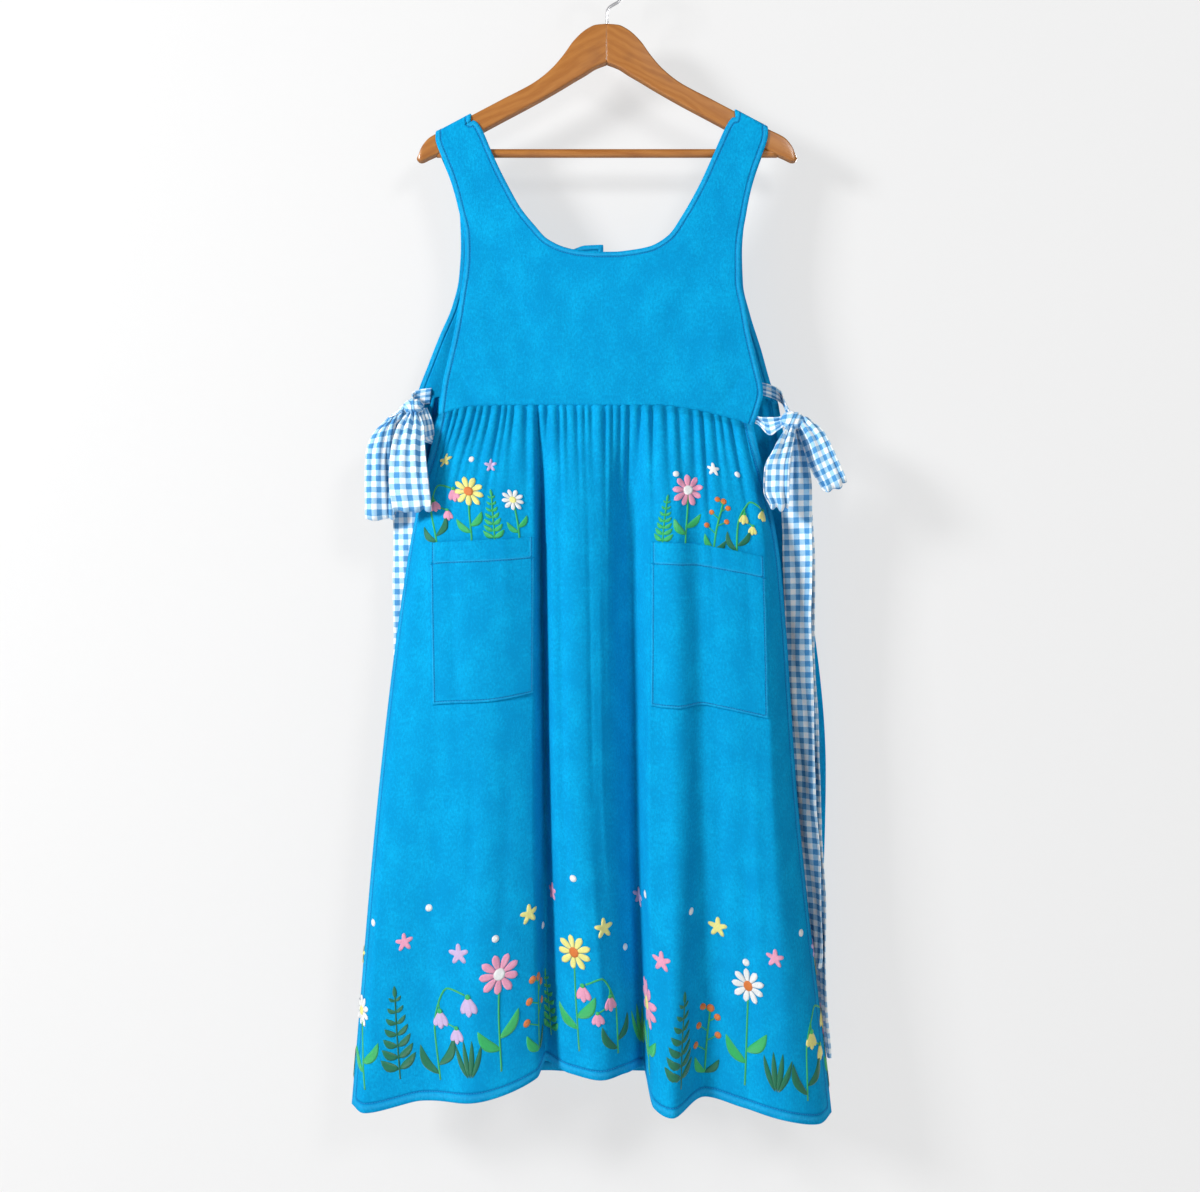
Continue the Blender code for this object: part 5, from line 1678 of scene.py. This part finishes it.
    def fern(self, foot, height, colour="dark_green", lean=0.0):
        """A frond of paired leaflets that shorten towards its tip."""
        tip = (foot[0] + lean, foot[1] + height)
        self.stem([foot, (foot[0] + lean * 0.25, foot[1] + height * 0.5), tip], colour, 0.0018)
        pairs = 7
        for k in range(pairs):
            share = 0.12 + 0.80 * k / (pairs - 1)
            root = (foot[0] + lean * share * share, foot[1] + height * share)
            reach = height * (0.27 - 0.20 * share)
            for side in (-1, 1):
                end = (root[0] + side * reach * 0.85, root[1] + reach * 0.62)
                self.leaf(root, end, reach * 0.42, colour, side * -0.10, 7, 5)
        below, above = tip[1] - height * 0.04, tip[1] + height * 0.10
        self.leaf((tip[0], below), (tip[0], above), height * 0.05, colour)

    def tuft(self, foot, height, colour, blades=4):
        """Blades of grass from one foot."""
        for k in range(blades):
            way = (k - (blades - 1) / 2) / blades
            tall = height * (1 - 0.5 * abs(way))
            tip = (foot[0] + way * height * 0.9, foot[1] + tall)
            self.leaf((foot[0] + way * 0.006, foot[1]), tip, height * 0.13, colour, -0.10 * way, 9, 5)

    def star(self, centre, size, colour):
        """A five-pointed star."""

        def reach(angle):
            return 0.72 + 0.28 * math.cos(5 * (angle - math.pi / 2))

        self.disc(centre, size, colour, reach, steps=13)


def laid_on_skirt(flat, lift):
    """Places in space of flat places on the front skirt, lifted off its outer face."""
    _, down, whole = front_grid
    across_x = np.gradient(whole[..., :3], axis=1)
    along_z = np.gradient(whole[..., :3], axis=0)
    normal = np.cross(across_x, along_z)
    normal /= np.linalg.norm(normal, axis=2)[..., None]
    normal *= np.where(normal[..., 1:2] > 0, -1, 1)
    placed = []
    for (across, fall), height in zip(flat, lift):
        row = float(np.interp(fall, down, np.arange(len(down))))
        upper = min(int(row), len(down) - 2)
        part = row - upper
        run = whole[upper, :, 3] * (1 - part) + whole[upper + 1, :, 3] * part
        column = float(np.interp(across, run, np.arange(len(run))))
        left = min(int(column), len(run) - 2)
        aside = column - left
        cell = (slice(upper, upper + 2), slice(left, left + 2))
        block = np.concatenate([whole[cell][..., :3], normal[cell]], -1)
        line = block[0] * (1 - part) + block[1] * part
        spot = line[0] * (1 - aside) + line[1] * aside
        placed.append(spot[:3] + spot[3:] / np.linalg.norm(spot[3:]) * (SKIRT_WALL / 2 + height))
    return placed


def lay_sewing(name, sewing):
    """Lays the flat patches on the skirt. Their second number is a height above the hem."""
    flat = [(across, SKIRT_LENGTH - rise) for across, rise in sewing.flat]
    points = laid_on_skirt(flat, sewing.lift)
    marks = [(side, ahead, 0.0) for side, ahead in sewing.marks]
    piece = make_piece(name, points, sewing.faces, satins, {"thread": marks}, sewing.slots)
    return piece


hem_row = Sewing()
# kind, place along the hem, rise of its foot, height, then what the kind needs
HEM_PLANTS = (
    ("tuft", -0.400, 0.030, 0.040, "green"),
    ("daisy", -0.360, 0.026, 0.085, (0.017, "white", "lemon")),
    ("fern", -0.318, 0.030, 0.100, "dark_green"),
    ("bell", -0.270, 0.024, 0.105, ("lilac", 1)),
    ("tuft", -0.232, 0.028, 0.045, "dark_green"),
    ("daisy", -0.196, 0.028, 0.112, (0.024, "pink", "white")),
    ("sprig", -0.146, 0.030, 0.086, "orange"),
    ("fern", -0.106, 0.034, 0.072, "green"),
    ("daisy", -0.062, 0.030, 0.118, (0.021, "lemon", "orange")),
    ("bell", -0.014, 0.026, 0.092, ("pink", -1)),
    ("tuft", 0.030, 0.030, 0.050, "green"),
    ("daisy", 0.070, 0.026, 0.082, (0.024, "pink", "lemon")),
    ("fern", 0.122, 0.028, 0.098, "dark_green"),
    ("sprig", 0.164, 0.028, 0.076, "orange"),
    ("daisy", 0.212, 0.026, 0.116, (0.020, "white", "orange")),
    ("tuft", 0.250, 0.030, 0.048, "dark_green"),
    ("bell", 0.288, 0.026, 0.102, ("lemon", 1)),
    ("daisy", 0.346, 0.028, 0.078, (0.022, "pink", "white")),
    ("fern", 0.392, 0.030, 0.082, "green"),
    ("tuft", 0.425, 0.028, 0.040, "green"),
)
# place along the hem, height above it, size and colour
HEM_STARS = (
    (-0.372, 0.172, 0.0115, "lemon"),
    (-0.300, 0.188, 0.0110, "pink"),
    (-0.236, 0.168, 0.0125, "lilac"),
    (-0.150, 0.196, 0.0120, "lemon"),
    (-0.090, 0.212, 0.0110, "pink"),
    (-0.020, 0.176, 0.0125, "lemon"),
    (0.040, 0.208, 0.0110, "lilac"),
    (0.100, 0.170, 0.0120, "pink"),
    (0.176, 0.200, 0.0120, "lemon"),
    (0.244, 0.182, 0.0110, "pink"),
    (0.320, 0.190, 0.0120, "lilac"),
    (0.384, 0.168, 0.0110, "lemon"),
)
HEM_DOTS = (
    (-0.338, 0.214), (-0.268, 0.222), (-0.192, 0.182), (-0.118, 0.168), (-0.052, 0.236),
    (0.010, 0.148), (0.072, 0.232), (0.140, 0.222), (0.210, 0.168), (0.282, 0.214), (0.352, 0.150),
)


def sew_plant(sewing, kind, foot, height, more):
    if kind == "daisy":
        size, petals, heart = more
        sewing.daisy(foot, height, size, petals, heart, 0.006 * math.sin(foot[0] * 90))
    elif kind == "bell":
        sewing.bellflower(foot, height, *more)
    elif kind == "sprig":
        sewing.sprig(foot, height, more, 0.005)
    elif kind == "fern":
        sewing.fern(foot, height, more, 0.008 * math.sin(foot[0] * 70))
    else:
        sewing.tuft(foot, height, more)


for kind, across, rise, height, more in HEM_PLANTS:
    sew_plant(hem_row, kind, (across, rise), height, more)
for across, rise, size, colour in HEM_STARS:
    hem_row.star((across, rise), size, colour)
for across, rise in HEM_DOTS:
    hem_row.disc((across, rise), 0.0042, "white", steps=7)
lay_sewing("embroidery_hem", hem_row)


def posy(name, start, end, plants):
    """Plants that rise from behind a pocket's mouth, placed by their share across it."""
    across, down, whole = front_grid
    row = int(np.argmin(np.abs(down - POCKET_TOP)))
    left, right = (float(np.interp(place, across, whole[row, :, 3])) for place in (start, end))
    sewing = Sewing()
    for kind, share, rise, height, more in plants:
        foot = (left + (right - left) * share, SKIRT_LENGTH - POCKET_TOP + rise)
        if kind == "star":
            sewing.star(foot, height, more)
        elif kind == "dot":
            sewing.disc(foot, height, more, steps=7)
        else:
            sew_plant(sewing, kind, foot, height, more)
    lay_sewing(name, sewing)


posy(
    "embroidery_left",
    FRONT_FOLDS[2][0],
    FRONT_FOLDS[4][0],
    (
        ("bell", 0.06, -0.004, 0.072, ("pink", 1)),
        ("daisy", 0.40, -0.004, 0.062, (0.018, "lemon", "orange")),
        ("fern", 0.62, -0.004, 0.058, "green"),
        ("daisy", 0.86, -0.004, 0.050, (0.013, "white", "lemon")),
        ("star", 0.22, 0.098, 0.0080, "lemon"),
        ("star", 0.70, 0.088, 0.0080, "lilac"),
        ("dot", 0.50, 0.096, 0.0034, "white"),
    ),
)
posy(
    "embroidery_right",
    FRONT_FOLDS[10][0],
    FRONT_FOLDS[14][0],
    (
        ("fern", 0.10, -0.004, 0.054, "green"),
        ("daisy", 0.30, -0.004, 0.066, (0.019, "pink", "white")),
        ("sprig", 0.56, -0.004, 0.060, "orange"),
        ("bell", 0.76, -0.004, 0.066, ("lemon", 1)),
        ("star", 0.50, 0.092, 0.0080, "white"),
        ("dot", 0.14, 0.080, 0.0034, "white"),
        ("dot", 0.72, 0.092, 0.0034, "white"),
    ),
)


# Every finished edge is topstitched in blue cotton thread, about eight stitches to 25 mm. The
# stitches are short rounded rods that lie in the seam's own groove.
STITCH_PITCH = 0.0031
STITCH_LENGTH = 0.0023
STITCH_RADIUS = 0.00030
SEAM_LEVEL = 1.0


def contour(points, quads, field, level):
    """Lines along which a field over a mesh takes a level, each a list of places."""
    crossing = {}
    links = {}
    inside = field > level
    mixed = quads[(inside[quads].sum(1) % 4) > 0]
    for quad in mixed.tolist():
        found = []
        for start, end in zip(quad, quad[1:] + quad[:1]):
            if inside[start] != inside[end]:
                key = (min(start, end), max(start, end))
                share = (level - field[key[0]]) / (field[key[1]] - field[key[0]])
                crossing[key] = points[key[0]] * (1 - share) + points[key[1]] * share
                found.append(key)
        if len(found) == 2:
            links.setdefault(found[0], []).append(found[1])
            links.setdefault(found[1], []).append(found[0])
    lines = []
    left = set(links)
    for start in sorted(links, key=lambda key: (len(links[key]), key)):
        if start not in left:
            continue
        line = [start]
        left.discard(start)
        while True:
            ahead = [key for key in links[line[-1]] if key in left]
            if not ahead:
                break
            line.append(ahead[0])
            left.discard(ahead[0])
        if len(line) > 3:
            lines.append(np.array([crossing[key] for key in line]))
    return lines


def sew_seams(name, surface, thickness):
    points, quads, cut = surface
    face = points + facing_of(points, quads) * (thickness / 2 + STITCH_RADIUS * 0.35)
    rods = []
    faces = []
    for line in contour(face, quads, cut[:, 2], SEAM_LEVEL):
        run = np.concatenate([[0], np.linalg.norm(np.diff(line, axis=0), axis=1).cumsum()])
        for start in np.arange(STITCH_PITCH / 2, run[-1] - STITCH_LENGTH, STITCH_PITCH):
            ends = [
                [np.interp(at, run, line[:, k]) for k in range(3)]
                for at in (start, start + STITCH_LENGTH)
            ]
            add_rod(rods, faces, *ends, STITCH_RADIUS, 4)
    marks = [(0, (x + y + z), 0) for x, y, z in rods]
    piece = make_piece(name, rods, faces, [thread], {"grain": marks})


for name, surface, thickness, slot in (
    ("bodice_front", front_bodice, BODICE_WALL, "bodice_cotton"),
    ("bodice_back_left", back_bodice_left, BODICE_WALL, "bodice_cotton"),
    ("bodice_back_right", back_bodice_right, BODICE_WALL, "bodice_cotton"),
    ("skirt_front", front_skirt, SKIRT_WALL, "skirt_cotton"),
    ("skirt_back", back_skirt, SKIRT_WALL, "skirt_cotton"),
    ("pocket_left", left_pocket, POCKET_WALL, "skirt_cotton"),
    ("pocket_right", right_pocket, POCKET_WALL, "skirt_cotton"),
):
    sew_seams("stitching_" + name, surface, thickness)
